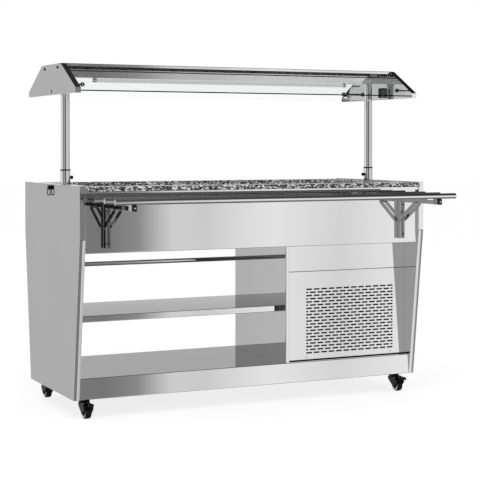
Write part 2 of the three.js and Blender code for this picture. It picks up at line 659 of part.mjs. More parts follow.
const grilleTop = SEAM_Z - SEAM_GAP / 2;
const grillePan = cut(
  box(bayX, [BAY_FACE, BAY_FACE + GRILLE_EDGE], [GRILLE_FOOT, grilleTop]),
  [box(
    [bayX[0] + SHEET, bayX[1] - SHEET],
    [BAY_FACE + SHEET, BAY_FACE + GRILLE_EDGE + BURY],
    [GRILLE_FOOT + SHEET, grilleTop - SHEET],
  )],
);
const slotsLeft = bayX[0] + SLOT_LEFT_MARGIN;
const slotsFoot = GRILLE_FOOT + SLOT_FOOT_MARGIN;
const slotColumns = Math.floor((bayX[1] - SLOT_SIDE_MARGIN - slotsLeft - SLOT_L) / SLOT_PITCH) + 1;
const slotRows = Math.floor((grilleTop - SLOT_TOP_MARGIN - slotsFoot) / ROW_PITCH) + 1;
const slotsRight = slotsLeft + (slotColumns - 1) * SLOT_PITCH + SLOT_L;
const slotCutters = [];
for (let row = 0; row < slotRows; row += 1) {
  const z = slotsFoot + row * ROW_PITCH;
  const shift = row % 2 === 0 ? 0 : -SLOT_PITCH / 2;
  for (let column = 0; column <= slotColumns; column += 1) {
    const left = Math.max(slotsLeft, slotsLeft + shift + column * SLOT_PITCH);
    const right = Math.min(slotsRight, slotsLeft + shift + column * SLOT_PITCH + SLOT_L);
    if (right > left) {
      slotCutters.push(box([left, right], [BAY_FACE - BURY, BAY_FACE + SHEET + BURY], [z - SLOT_H / 2, z + SLOT_H / 2]));
    }
  }
}
add('grille_panel', cut(grillePan, slotCutters), polished());

const backFace = DIVIDER_REAR - SHEET - FIT;
const louvreLeft = (bayX[0] + bayX[1] - LOUVRE_L) / 2;
const louvres = Array.from({ length: LOUVRES }, (_, i) => {
  const z = GLAND_Z + (i + 1) * LOUVRE_PITCH;
  return box([louvreLeft, louvreLeft + LOUVRE_L], [backFace - SHEET - BURY, backFace + BURY], [z, z + LOUVRE_H]);
});
const backPanel = join([
  box([DIVIDER_X + SHEET + FIT, BODY_HALF], [backFace - SHEET, backFace], [DECK_TOP + FIT, FASCIA_FOOT - FIT]),
  bar('y', GLAND_R, [backFace - SHEET / 2, backFace + GLAND_L], GLAND_X, GLAND_Z),
]);
const glandBore = bar('y', GLAND_BORE, [backFace - SHEET - BURY, backFace + GLAND_L + BURY], GLAND_X, GLAND_Z);
add('bay_back_panel', cut(backPanel, [...louvres, glandBore]), brushed());

// ---------- cooling unit on the deck ----------
const deckSeat = DECK_TOP + FIT;
const coilRear = COIL_FRONT + COIL_D;
const finPitch = (COIL_W - FIN_T) / (FINS - 1);
const comb = [[COIL_LEFT, COIL_FRONT], [COIL_LEFT + COIL_W, COIL_FRONT]];
for (let i = FINS - 1; i >= 0; i -= 1) {
  const x = COIL_LEFT + i * finPitch;
  comb.push([x + FIN_T, coilRear], [x, coilRear]);
  if (i > 0) comb.push([x, COIL_FRONT + FIN_T], [x - finPitch + FIN_T, COIL_FRONT + FIN_T]);
}
const coilBends = [1, 3].flatMap((pair) => [COIL_LEFT - COIL_BEND, COIL_LEFT + COIL_W - BURY].map((x) => box(
  [x, x + COIL_BEND + BURY],
  [COIL_FRONT + COIL_D / 2 - COIL_TUBE_R, COIL_FRONT + COIL_D / 2 + COIL_TUBE_R],
  [deckSeat + (COIL_H * pair) / 5, deckSeat + (COIL_H * (pair + 1)) / 5],
)));
add('condenser', join([upZ(outline(comb), [deckSeat, deckSeat + COIL_H]), ...coilBends]), alloy());

const fanX = COIL_LEFT + COIL_W / 2;
const fanZ = deckSeat + COIL_H / 2;
const motorFront = FAN_Y + FAN_HUB_L;
add('fan_motor', join([
  bar('y', SHAFT_R, [FAN_Y - FAN_HUB_L / 2, motorFront + BURY], fanX, fanZ),
  bar('y', MOTOR_R, [motorFront, motorFront + MOTOR_L], fanX, fanZ),
  box([fanX - MOTOR_R / 2, fanX + MOTOR_R / 2], [motorFront + BURY, motorFront + MOTOR_L - BURY], [deckSeat, fanZ]),
  box(
    [fanX - MOTOR_R, fanX + MOTOR_R],
    [motorFront, motorFront + MOTOR_L],
    [deckSeat, deckSeat + 2 * SHEET],
  ),
]), blackPaint());
const blade = (i) => {
  const shape = box([FAN_HUB_R - 2 * BURY, FAN_R], [-SHEET / 2, SHEET / 2], [-FAN_HUB_R, FAN_HUB_R]);
  shape.rotateX(Math.PI / 9);
  shape.rotateY((i * 2 * Math.PI) / BLADES);
  return shape;
};
const hubFoot = FAN_Y - FAN_HUB_L / 2 - FIT;
const fan = cut(
  join([
    bar('y', FAN_HUB_R, [-FAN_HUB_L / 2, FAN_HUB_L / 2], 0, 0),
    ...Array.from({ length: BLADES }, (_, i) => blade(i)),
  ]),
  [bar('y', SHAFT_R + RUN, [-FAN_HUB_L, FAN_HUB_L], 0, 0)],
);
fan.translate(fanX, hubFoot + FAN_HUB_L / 2, fanZ);
add('condenser_fan', fan, alloy());

const pot = turned([
  [0, 0],
  [POT_FLANGE_R, 0],
  [POT_FLANGE_R, POT_FLANGE_H],
  [POT_R, POT_COVE_H],
  [POT_R, POT_WALL_H],
  [POT_BROW_R, POT_BROW_H],
  [POT_CROWN_R, POT_CROWN_H],
  [0, POT_H],
]);
pot.translate(POT_X, POT_Y, deckSeat);
add('compressor', pot, blackPaint());

// ---------- posts, sockets and clamp screws ----------
const socketTop = WORKTOP_TOP + SOCKET_H;
const socketFoot = casingFloor + FIT;
const socketSolid = cut(
  join([
    bar('z', SOCKET_R, [socketFoot, socketTop], POST_X, 0, ROUND),
    bar('z', SOCKET_R + RING_LIP, [socketTop - RING_H, socketTop], POST_X, 0, ROUND),
  ]),
  [
    bar('z', POST_R + LOOSE, [socketFoot - BURY, socketTop + BURY], POST_X, 0, ROUND),
    bar('x', SCREW_R + RUN, [POST_X - SOCKET_R - BURY, POST_X - POST_R / 2], 0, SCREW_Z),
  ],
);
const screwTip = POST_R + FIT;
const screwHead = (() => {
  const star = Array.from({ length: SCREW_LOBES * 2 }, (_, i) => {
    const r = i % 2 === 0 ? SCREW_HEAD_R : SCREW_HEAD_R * 0.86;
    const angle = (i * Math.PI) / SCREW_LOBES;
    return [r * Math.cos(angle), r * Math.sin(angle)];
  });
  return acrossX(outline(star), [-SOCKET_R - BURY - SCREW_HEAD_L, -SOCKET_R - BURY]);
})();
const clampScrew = join([screwHead, bar('x', SCREW_R, [-SOCKET_R - 2 * BURY, -screwTip], 0, 0)]);
clampScrew.translate(POST_X, 0, SCREW_Z);
const postSolid = pipe('z', POST_R, POST_WALL, [POST_FOOT, BEAM_FOOT - FIT], POST_X, 0);
add('post_socket_right', socketSolid, chrome());
add('post_socket_left', mirrored(socketSolid), chrome());
add('clamp_screw_right', clampScrew, blackPlastic());
add('clamp_screw_left', mirrored(clampScrew), blackPlastic());
add('post_right', postSolid, chrome());
add('post_left', mirrored(postSolid), chrome());

// ---------- canopy ----------
const endOutline = [
  [-CANOPY_HALF_FOOT, CANOPY_FOOT],
  [CANOPY_HALF_FOOT, CANOPY_FOOT],
  [CANOPY_HALF_FOOT, CANOPY_SHOULDER],
  [CANOPY_HALF_TOP, CANOPY_TOP],
  [-CANOPY_HALF_TOP, CANOPY_TOP],
  [-CANOPY_HALF_FOOT, CANOPY_SHOULDER],
];
const flangeRing = outline(endOutline);
flangeRing.holes.push(outline(inset(endOutline, SHEET)));
const plateInner = CANOPY_HALF - SHEET;
const tabSlots = [-1, 1].map((s) => box(
  [plateInner - BURY, CANOPY_HALF + BURY], [s * TAB_Y - TAB_W / 2, s * TAB_Y + TAB_W / 2], [TAB_Z - TAB_H / 2, TAB_Z + TAB_H / 2],
));
const endPlate = join([
  cut(acrossX(outline(endOutline), [plateInner, CANOPY_HALF]), tabSlots),
  acrossX(flangeRing, [CANOPY_HALF - END_FLANGE, CANOPY_HALF - SHEET / 2]),
  bar('x', BOLT_R, [CANOPY_HALF - SHEET / 2, CANOPY_HALF + SHEET], 0, BOLT_Z, 12),
]);
add('canopy_end_right', endPlate, brushed());
add('canopy_end_left', mirrored(endPlate), brushed());

const lipRun = (LIP_DROP * (CANOPY_HALF_FOOT - CANOPY_HALF_TOP)) / (CANOPY_TOP - CANOPY_SHOULDER);
const roofSection = [
  [CANOPY_HALF_TOP, CANOPY_TOP],
  [-CANOPY_HALF_TOP, CANOPY_TOP],
  [-CANOPY_HALF_TOP - lipRun, CANOPY_TOP - LIP_DROP],
  [-CANOPY_HALF_TOP - lipRun + SHEET / 2, CANOPY_TOP - LIP_DROP - SHEET],
  [-CANOPY_HALF_TOP + SHEET / 2, CANOPY_TOP - SHEET],
  [CANOPY_HALF_TOP - SHEET / 2, CANOPY_TOP - SHEET],
  [CANOPY_HALF_TOP + lipRun - SHEET / 2, CANOPY_TOP - LIP_DROP - SHEET],
  [CANOPY_HALF_TOP + lipRun, CANOPY_TOP - LIP_DROP],
];
add('canopy_roof', acrossX(outline(roofSection), span(CANOPY_HALF - END_FLANGE - FIT)), brushed());

const beamTop = CANOPY_TOP - SHEET - FIT;
const beamSide = (s) => [
  [s * BEAM_HALF, BEAM_FOOT],
  [s * BEAM_HALF, GROOVE_Z],
  [s * (BEAM_HALF - GROOVE_D), GROOVE_Z],
  [s * (BEAM_HALF - GROOVE_D), GROOVE_Z + GROOVE_H],
  [s * BEAM_HALF, GROOVE_Z + GROOVE_H],
  [s * BEAM_HALF, beamTop],
];
const beamSection = [
  ...beamSide(1),
  [BEAM_HALF - BEAM_WALL, beamTop],
  [BEAM_HALF - BEAM_WALL, BEAM_FOOT + SHEET],
  [-BEAM_HALF + BEAM_WALL, BEAM_FOOT + SHEET],
  [-BEAM_HALF + BEAM_WALL, beamTop],
  ...beamSide(-1).reverse(),
];
add('lamp_beam', acrossX(outline(beamSection), span(plateInner - FIT)), polished());
add('lamp_tube', bar('x', LAMP_R, span(LAMP_HALF), 0, BEAM_FOOT - FIT - LAMP_R), lampWhite());

// panes slope from under the roof lips down to the end plates' lower corners
const paneLean = Math.atan2(GLASS_TOP_Z - GLASS_FOOT_Z, GLASS_FOOT_Y - GLASS_TOP_Y);
const paneThick = [GLASS_T * Math.sin(paneLean), GLASS_T * Math.cos(paneLean)];
const pane = (s) => {
  const points = [
    [s * GLASS_TOP_Y, GLASS_TOP_Z],
    [s * GLASS_FOOT_Y, GLASS_FOOT_Z],
    [s * (GLASS_FOOT_Y + paneThick[0]), GLASS_FOOT_Z + paneThick[1]],
    [s * (GLASS_TOP_Y + paneThick[0]), GLASS_TOP_Z + paneThick[1]],
  ];
  return acrossX(outline(s < 0 ? points : points.reverse()), span(plateInner - FIT));
};
add('glass_front', pane(-1), clearPane());
add('glass_rear', pane(1), clearPane());

const underPane = GLASS_FOOT_Z + (GLASS_FOOT_Y - KNOB_Y) * Math.tan(paneLean);
const knobZ = underPane - (KNOB_R + FIT) / Math.cos(paneLean);
const knobTip = CANOPY_HALF - KNOB_INSET;
for (const [side, s] of [['front', -1], ['rear', 1]]) {
  const knob = join([
    bar('x', KNOB_R, [knobTip, knobTip + KNOB_L], s * KNOB_Y, knobZ, 16),
    bar('x', KNOB_STUD_R, [knobTip + KNOB_L - BURY, plateInner - FIT], s * KNOB_Y, knobZ, 12),
  ]);
  add(`glass_knob_${side}_right`, knob, blackPlastic());
  add(`glass_knob_${side}_left`, mirrored(knob), blackPlastic());
}

const switchX = [plateInner - FIT - SWITCH_D, plateInner - FIT];
add('lamp_switch_box', cut(
  box(switchX, [SWITCH_Y - SWITCH_W / 2, SWITCH_Y + SWITCH_W / 2], [SWITCH_Z - SWITCH_H / 2, SWITCH_Z + SWITCH_H / 2]),
  [box(
    [switchX[0] - BURY, switchX[0] + ROCKER_D + ROCKER_THROW],
    [SWITCH_Y - ROCKER_W / 2 - FIT, SWITCH_Y + ROCKER_W / 2 + FIT],
    [SWITCH_Z - ROCKER_H / 2 - LOOSE, SWITCH_Z + ROCKER_H / 2 + LOOSE],
  )],
), blackPlastic());
const rocker = acrossX(outline([
  [-ROCKER_W / 2, -ROCKER_H / 2],
  [ROCKER_W / 2, -ROCKER_H / 2],
  [ROCKER_W / 2, ROCKER_H / 2],
  [-ROCKER_W / 2, ROCKER_H / 2],
]), [-ROCKER_D / 2, ROCKER_D / 2]);
const rockerMesh = add('lamp_rocker', rocker, blackPlastic());
rockerMesh.position.set(switchX[0] + ROCKER_D / 2, SWITCH_Y, SWITCH_Z);
rockerMesh.rotation.y = -ROCKER_TILT;

// ---------- fold-down tray slide ----------
const tubeSpan = span(TRAY_HALF);
const tubeNames = ['tray_tube_rear', 'tray_tube_middle', 'tray_tube_front'];
for (let i = 0; i < TRAY_TUBES; i += 1) {
  add(tubeNames[i], pipe('x', TRAY_TUBE_R, TRAY_TUBE_WALL, tubeSpan, TRAY_FIRST_Y - i * TRAY_PITCH, TRAY_Z), chrome());
}
const channelBack = -FASCIA_FACE - FIT;
const braceY = HINGE_Y;
const braceZ = ARM_Z - BRACE_DROP;
const channel = cut(
  box([BRACKET_X - CHANNEL_HALF, BRACKET_X + CHANNEL_HALF], [channelBack - CHANNEL_D, channelBack], [CHANNEL_FOOT, CHANNEL_TOP]),
  [
    box(
      [BRACKET_X - CHANNEL_HALF + CHANNEL_WALL, BRACKET_X + CHANNEL_HALF - CHANNEL_WALL],
      [channelBack - CHANNEL_D - BURY, channelBack - CHANNEL_WALL],
      [CHANNEL_FOOT - BURY, CHANNEL_TOP + BURY],
    ),
    bar('x', ARM_PIN_R + RUN, [BRACKET_X - 2 * CHANNEL_HALF, BRACKET_X + 2 * CHANNEL_HALF], HINGE_Y, ARM_Z),
    bar('x', ARM_PIN_R + RUN, [BRACKET_X - 2 * CHANNEL_HALF, BRACKET_X + 2 * CHANNEL_HALF], braceY, braceZ),
  ],
);
const saddles = Array.from({ length: TRAY_TUBES - 1 }, (_, i) => {
  const y = TRAY_FIRST_Y - i * TRAY_PITCH;
  return box(
    [BRACKET_X - ARM_HALF_W, BRACKET_X + ARM_HALF_W],
    [y - SADDLE_HALF, y + SADDLE_HALF],
    [ARM_Z + ARM_HALF_H - BURY, TRAY_Z - TRAY_TUBE_R - FIT],
  );
});
const capHalf = ARM_HALF_W + END_CAP_LIP;
const capFoot = ARM_Z - ARM_HALF_H - END_CAP_LIP;
const capY = [ARM_TIP_Y, ARM_TIP_Y + END_CAP_L];
const collarY = [capY[1] + COLLAR_GAP, capY[1] + COLLAR_GAP + COLLAR_L];
const endCap = cut(
  box([BRACKET_X - capHalf, BRACKET_X + capHalf], capY, [capFoot, TRAY_Z - TRAY_TUBE_R - FIT]),
  [box(
    [BRACKET_X - capHalf / 2, BRACKET_X + capHalf / 2],
    [ARM_TIP_Y - BURY, ARM_TIP_Y + END_CAP_DISH],
    [ARM_Z - ARM_HALF_H / 2, ARM_Z + ARM_HALF_H / 2],
  )],
);
const collar = box([BRACKET_X - capHalf, BRACKET_X + capHalf], collarY, [capFoot, capFoot + COLLAR_H]);
const armShell = cut(
  box(
    [BRACKET_X - ARM_HALF_W, BRACKET_X + ARM_HALF_W],
    [ARM_TIP_Y, HINGE_Y + ARM_TAIL],
    [ARM_Z - ARM_HALF_H, ARM_Z + ARM_HALF_H],
  ),
  [box(
    [BRACKET_X - ARM_HALF_W + SHEET, BRACKET_X + ARM_HALF_W - SHEET],
    [collarY[1] + ARM_TAIL, HINGE_Y + ARM_TAIL + BURY],
    [ARM_Z - ARM_HALF_H - BURY, ARM_Z + ARM_HALF_H - SHEET],
  )],
);
const armPinHalf = CHANNEL_HALF - FIT;
const arm = join([
  armShell,
  endCap,
  collar,
  ...saddles,
  bar('x', ARM_PIN_R, [BRACKET_X - armPinHalf, BRACKET_X + armPinHalf], HINGE_Y, ARM_Z, PIN),
]);
const pinRise = ARM_HALF_H + ARM_PIN_R + FIT;
const braceTilt = Math.atan2(BRACE_DROP - pinRise, BRACE_REACH);
const braceLength = Math.hypot(BRACE_REACH, BRACE_DROP - pinRise);
const capsule = (() => {
  const path = new THREE.Shape();
  path.moveTo(0, -BRACE_HALF_H);
  path.absarc(braceLength, 0, BRACE_HALF_H, -Math.PI / 2, Math.PI / 2, false);
  path.absarc(0, 0, BRACE_HALF_H, Math.PI / 2, Math.PI * 1.5, false);
  return path;
})();
const brace = join([
  acrossX(capsule, [BRACE_IN, BRACE_OUT]),
  acrossX(capsule, [-BRACE_OUT, -BRACE_IN]),
  bar('x', ARM_PIN_R, span(BRACE_OUT - SHEET / 2), braceLength, 0, PIN),
  bar('x', ARM_PIN_R, [BRACE_STUB, BRACE_IN + BURY], 0, 0, PIN),
  bar('x', ARM_PIN_R, [-BRACE_IN - BURY, -BRACE_STUB], 0, 0, PIN),
]);
brace.rotateX(Math.PI - braceTilt);
brace.translate(BRACKET_X, braceY, braceZ);
for (const [side, turn] of [['right', (shape) => shape], ['left', mirrored]]) {
  add(`bracket_channel_${side}`, turn(channel), brushed());
  add(`bracket_arm_${side}`, turn(arm), brushed());
  add(`bracket_brace_${side}`, turn(brace), brushed());
}

// ---------- casters ----------
const axleZ = WHEEL_R;
const cheekIn = WHEEL_HALF + WHEEL_GAP;
const forkSide = () => {
  const path = new THREE.Shape();
  path.moveTo(-TRAIL - HUB_R / 2, axleZ - HUB_R / 2);
  path.lineTo(-TRAIL + HUB_R / 2, axleZ - HUB_R / 2);
  path.lineTo(HEAD_R * 0.7, HEAD_FOOT - BURY);
  path.lineTo(HEAD_R * 0.9, HEAD_FOOT + BURY);
  path.lineTo(-TRAIL - HUB_R * 0.7, HEAD_FOOT + BURY);
  path.lineTo(-TRAIL - HUB_R * 0.9, axleZ + WHEEL_R * 0.6);
  return path;
};
const wheelRoom = bar('x', WHEEL_R + WHEEL_GAP, span(cheekIn), -TRAIL, axleZ);
const pedalEars = box(span(PEDAL_HALF / 2), [PEDAL_Y - PEDAL_T, -HEAD_R / 2], [HEAD_FOOT - BURY, PEDAL_Z + PEDAL_T]);
const fork = join([
  cut(
    join([
      acrossX(forkSide(), span(FORK_HALF)),
      bar('x', HOOD_R, span(FORK_HALF), -TRAIL, axleZ),
    ]),
    [
      wheelRoom,
      box(span(2 * FORK_HALF), [-TRAIL - 2 * HOOD_R, -TRAIL - HOOD_R / 3], [-HOOD_R, axleZ + WHEEL_R * 0.6]),
      box(span(2 * FORK_HALF), [-TRAIL - 2 * HOOD_R, TRAIL], [-HOOD_R, axleZ - HUB_R / 2]),
    ],
  ),
  bar('z', HEAD_R, [HEAD_FOOT - BURY, PANEL_FOOT - FIT], 0, 0),
  pedalEars,
  bar('z', STEM_R, [HEAD_FOOT, PANEL_FOOT + 2 * SHEET + BURY], 0, 0, PIN),
  bar('x', AXLE_R, span(FORK_HALF - BURY), -TRAIL, axleZ, PIN),
  bar('x', PEDAL_PIN_R, span(PEDAL_HALF - BURY), PEDAL_Y, PEDAL_Z, PIN),
]);
const rimR = WHEEL_R / Math.cos(Math.PI / WHEEL_SIDES);   // a facet, not a corner, stands on the floor
const wheelProfile = [
  [AXLE_R + RUN, -WHEEL_HALF],
  [HUB_R, -WHEEL_HALF],
  [rimR - TREAD_STEP, -WHEEL_HALF + TREAD_STEP],
  [rimR, -WHEEL_HALF + 2 * TREAD_STEP],
  [rimR, WHEEL_HALF - 2 * TREAD_STEP],
  [rimR - TREAD_STEP, WHEEL_HALF - TREAD_STEP],
  [HUB_R, WHEEL_HALF],
  [AXLE_R + RUN, WHEEL_HALF],
  [AXLE_R + RUN, -WHEEL_HALF],
];
const wheel = turned(wheelProfile, WHEEL_SIDES);
wheel.rotateY(Math.PI / 2);
wheel.rotateX(Math.PI / WHEEL_SIDES);
wheel.translate(0, -TRAIL, axleZ);
const pedalSide = outline([
  [PEDAL_Y + PEDAL_T, PEDAL_Z + PEDAL_T],
  [PEDAL_Y - PEDAL_T, PEDAL_Z + PEDAL_T + BURY],
  [PEDAL_TIP, PEDAL_Z - PEDAL_T],
  [PEDAL_TIP, PEDAL_Z - 2 * PEDAL_T],
  [PEDAL_Y - 2 * PEDAL_T, PEDAL_Z - PEDAL_T],
  [PEDAL_Y + PEDAL_T, PEDAL_Z - PEDAL_T],
]);
const pedal = cut(acrossX(pedalSide, span(PEDAL_HALF)), [
  box(
    span(PEDAL_HALF / 2 + LOOSE),
    [PEDAL_Y - 2 * PEDAL_T - BURY, PEDAL_Y + 2 * PEDAL_T],
    [PEDAL_Z - 2 * PEDAL_T, PEDAL_Z + 2 * PEDAL_T],
  ),
  bar('x', PEDAL_PIN_R + RUN, span(PEDAL_HALF + BURY), PEDAL_Y, PEDAL_Z),
]);
for (const [row, sy] of [['front', -1], ['rear', 1]]) {
  for (const [side, sx] of [['left', -1], ['right', 1]]) {
    const corner = group(`caster_${row}_${side}`, sx * CASTER_X, sy * CASTER_Y, 0);
    corner.rotation.z = sy < 0 ? 0 : Math.PI;
    add(`caster_fork_${row}_${side}`, fork, blackPlastic(), corner);
    add(`caster_wheel_${row}_${side}`, wheel, blackPlastic(), corner);
    add(`caster_pedal_${row}_${side}`, pedal, blackPlastic(), corner);
  }
}

// the row frame stands at the middle of the outline, on the floor
model.updateMatrixWorld(true);
const bounds = new THREE.Box3().setFromObject(model, true);
model.position.set(-(bounds.min.x + bounds.max.x) / 2, -(bounds.min.y + bounds.max.y) / 2, -bounds.min.z);
model.updateMatrixWorld(true);

export default model;
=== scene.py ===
"""Looks of a mobile salad bar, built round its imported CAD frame.

Every length is in metres, and every piece stands in the frame's own axes: X along the bar, -Y
towards the guest, Z up. A piece that replaces a CAD node takes its place from that node's box.
"""

import logging
import math
from dataclasses import dataclass
from enum import Enum
from typing import Sequence

import bmesh
import bpy
import numpy as np
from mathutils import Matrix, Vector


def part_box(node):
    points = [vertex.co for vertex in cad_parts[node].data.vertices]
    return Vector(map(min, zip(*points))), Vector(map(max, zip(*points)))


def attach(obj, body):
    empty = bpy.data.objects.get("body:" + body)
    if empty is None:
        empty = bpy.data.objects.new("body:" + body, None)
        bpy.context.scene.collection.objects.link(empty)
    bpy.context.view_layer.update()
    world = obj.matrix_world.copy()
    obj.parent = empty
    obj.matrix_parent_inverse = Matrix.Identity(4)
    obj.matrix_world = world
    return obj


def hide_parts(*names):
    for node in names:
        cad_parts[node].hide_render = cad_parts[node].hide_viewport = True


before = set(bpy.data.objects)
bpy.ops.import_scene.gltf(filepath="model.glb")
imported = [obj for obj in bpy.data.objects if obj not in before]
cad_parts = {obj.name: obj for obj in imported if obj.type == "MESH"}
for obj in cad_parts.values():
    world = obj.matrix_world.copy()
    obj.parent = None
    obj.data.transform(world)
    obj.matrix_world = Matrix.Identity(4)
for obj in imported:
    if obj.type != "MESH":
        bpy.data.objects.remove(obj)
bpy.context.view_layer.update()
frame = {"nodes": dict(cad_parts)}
LOG = logging.getLogger("salad_bar")
Array = np.ndarray
Rows = Array | Sequence[Sequence[float]]
LEAD = 0.2  # how far outside a curve its extra flat point lies, as a share of the curve's reach
SAME_POINT = 1e-7  # points of a line closer than this are one point
SEAM = 2e-6  # vertices closer than this are merged


# ---------- shapes as arrays ----------


class Axis(Enum):
    """The direction a shape runs in: the places of its two cross-wise and its lengthwise number."""

    X = (1, 2, 0)
    Y = (2, 0, 1)
    Z = (0, 1, 2)

    def place(self, first: Array, second: Array, along: Array | float) -> Array:
        """Puts cross-wise and lengthwise coordinates into X, Y, Z order.

        Args:
            first: First cross-wise coordinate of every point.
            second: Second cross-wise coordinate.
            along: Coordinate along the axis.

        Returns:
            The points, with a last dimension of three.
        """
        shape = np.broadcast(first, second, along).shape
        points = np.empty(shape + (3,))
        points[..., self.value[0]] = first
        points[..., self.value[1]] = second
        points[..., self.value[2]] = along
        return points


@dataclass(frozen=True)
class Space:
    """The box that a CAD node fills at rest."""

    low: Array
    high: Array

    @classmethod
    def of(cls, node: str) -> "Space":
        """Returns the box of a CAD node."""
        low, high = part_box(node)
        return cls(np.array(low), np.array(high))

    @property
    def middle(self) -> Array:
        """Returns the box's centre."""
        return (self.low + self.high) / 2

    @property
    def size(self) -> Array:
        """Returns the box's lengths along X, Y and Z."""
        return self.high - self.low

    def start(self, axis: Axis) -> Array:
        """Returns the middle of the box's low end along an axis."""
        point = self.middle
        point[axis.value[2]] = self.low[axis.value[2]]
        return point

    def end(self, place: int, way: float) -> float:
        """Returns where the box ends along X (0), Y (1) or Z (2), its low end if way is negative."""
        return float(self.low[place] if way < 0 else self.high[place])


def rectangle(first_low: float, first_high: float, second_low: float, second_high: float) -> Array:
    """Returns a rectangle's four corners, in order round it."""
    return np.array(
        [[first_low, second_low], [first_high, second_low], [first_high, second_high], [first_low, second_high]]
    )


def eased(corners: Rows, reach: float | Sequence[float] | Array, steps: int = 5, closed: bool = True) -> Array:
    """Rounds the corners of a line.

    Each corner gives way to a parabola between the points that lie `reach` before and after it:
    (1 - t)^2 start + 2 t (1 - t) corner + t^2 end. A further point just outside each curve keeps
    the flat parts beside it flat when they are shaded smoothly.

    Args:
        corners: Corner points, one row each.
        reach: Distance from a corner to where its curve begins, one value or one for each corner.
        steps: Points on each curve.
        closed: True if the line returns to its first corner.

    Returns:
        The rounded line's points.
    """
    corners = np.asarray(corners, dtype=float)
    before = np.roll(corners, 1, axis=0) - corners
    after = np.roll(corners, -1, axis=0) - corners
    reach = np.broadcast_to(np.asarray(reach, dtype=float), len(corners))[:, None]
    start = corners + before / np.linalg.norm(before, axis=1, keepdims=True) * reach
    end = corners + after / np.linalg.norm(after, axis=1, keepdims=True) * reach
    if not closed:
        start[0], end[0], start[-1], end[-1] = corners[0], corners[0], corners[-1], corners[-1]
    t = np.linspace(0, 1, steps)[None, :, None]
    curve = (1 - t) ** 2 * start[:, None] + 2 * t * (1 - t) * corners[:, None] + t**2 * end[:, None]
    lead, trail = (point + (point - corners) * LEAD for point in (start, end))
    line = np.concatenate([lead[:, None], curve, trail[:, None]], axis=1)
    if not closed:
        line[0, 0], line[-1, -1] = corners[0], corners[-1]
    line = line.reshape(-1, corners.shape[1])
    keep = np.r_[True, np.linalg.norm(np.diff(line, axis=0), axis=1) > SAME_POINT]
    return line[keep]


def offset(line: Array, distance: float) -> Array:
    """Moves an open line sideways.

    Every point moves along the mean normal of its two neighbouring stretches, by
    distance / cos(half the bend), so that both stretches move by the same distance.

    Args:
        line: Points of a line in a plane.
        distance: How far it moves to its left.

    Returns:
        The moved line.
    """
    stretch = np.diff(line, axis=0)
    stretch /= np.linalg.norm(stretch, axis=1, keepdims=True)
    left = np.stack([-stretch[:, 1], stretch[:, 0]], axis=1)
    first, second = np.vstack([left[:1], left]), np.vstack([left, left[-1:]])
    mean = first + second
    mean /= np.linalg.norm(mean, axis=1, keepdims=True)
    return line + mean * distance / np.sum(mean * first, axis=1, keepdims=True)


def turned(profile: Rows, axis: Axis, centre: Sequence[float], count: int = 48) -> Array:
    """Turns a profile about an axis.

    A profile point (r, s) becomes the circle centre + (r cos a, r sin a) at station s.

    Args:
        profile: Rows of radius and station.
        axis: Axis the profile turns about.
        centre: A point of that axis. Stations count from its coordinate along the axis.
        count: Points round the axis.

    Returns:
        A grid of points, one row for each profile point.
    """
    angle = np.arange(count) * 2 * math.pi / count
    radius, station = np.hsplit(np.asarray(profile, dtype=float), 2)
    first, second, along = (centre[i] for i in axis.value)
    return axis.place(first + radius * np.cos(angle), second + radius * np.sin(angle), along + station)


def capped_rod(radius: float, length: float, ease: float = 0.0008, steps: int = 5) -> Array:
    """Returns the profile of a closed rod whose rims are eased, from pole to pole."""
    return eased(rectangle(0, radius, 0, length), ease, steps, closed=False)


def pipe_wall(inner: float, outer: float, low: float, high: float, ease: float = 0.0004) -> Array:
    """Returns the closed profile of a pipe's wall with eased rims."""
    return eased(rectangle(inner, outer, low, high), ease, steps=4)


def stadium(start: Array, end: Array, radius: float, steps: int = 9) -> Array:
    """Returns the outline of a bar with round ends.

    Half circles of the given radius lie round both ends: end + r (cos a, sin a), with a turning
    from a right angle before the bar's direction to a right angle after it.

    Args:
        start: Centre of the first round end.
        end: Centre of the second round end.
        radius: Half the bar's width.
        steps: Points on each half circle.

    Returns:
        The closed outline.
    """
    along = math.atan2(end[1] - start[1], end[0] - start[0])
    turn = np.linspace(-math.pi / 2, math.pi / 2, steps) + along
    arc = radius * np.stack([np.cos(turn), np.sin(turn)], axis=1)
    return np.concatenate([end + arc, start - arc])


def dome(radius: float, rise: float, way: float = 1.0, steps: int = 6) -> Array:
    """Returns the profile of a flat-footed domed head: r = R sin a, s = way rise cos a."""
    angle = np.linspace(math.pi / 2, 0, steps)
    cap = np.stack([radius * np.sin(angle), way * rise * np.cos(angle)], axis=1)
    return np.concatenate([[[0.0, 0.0]], cap])


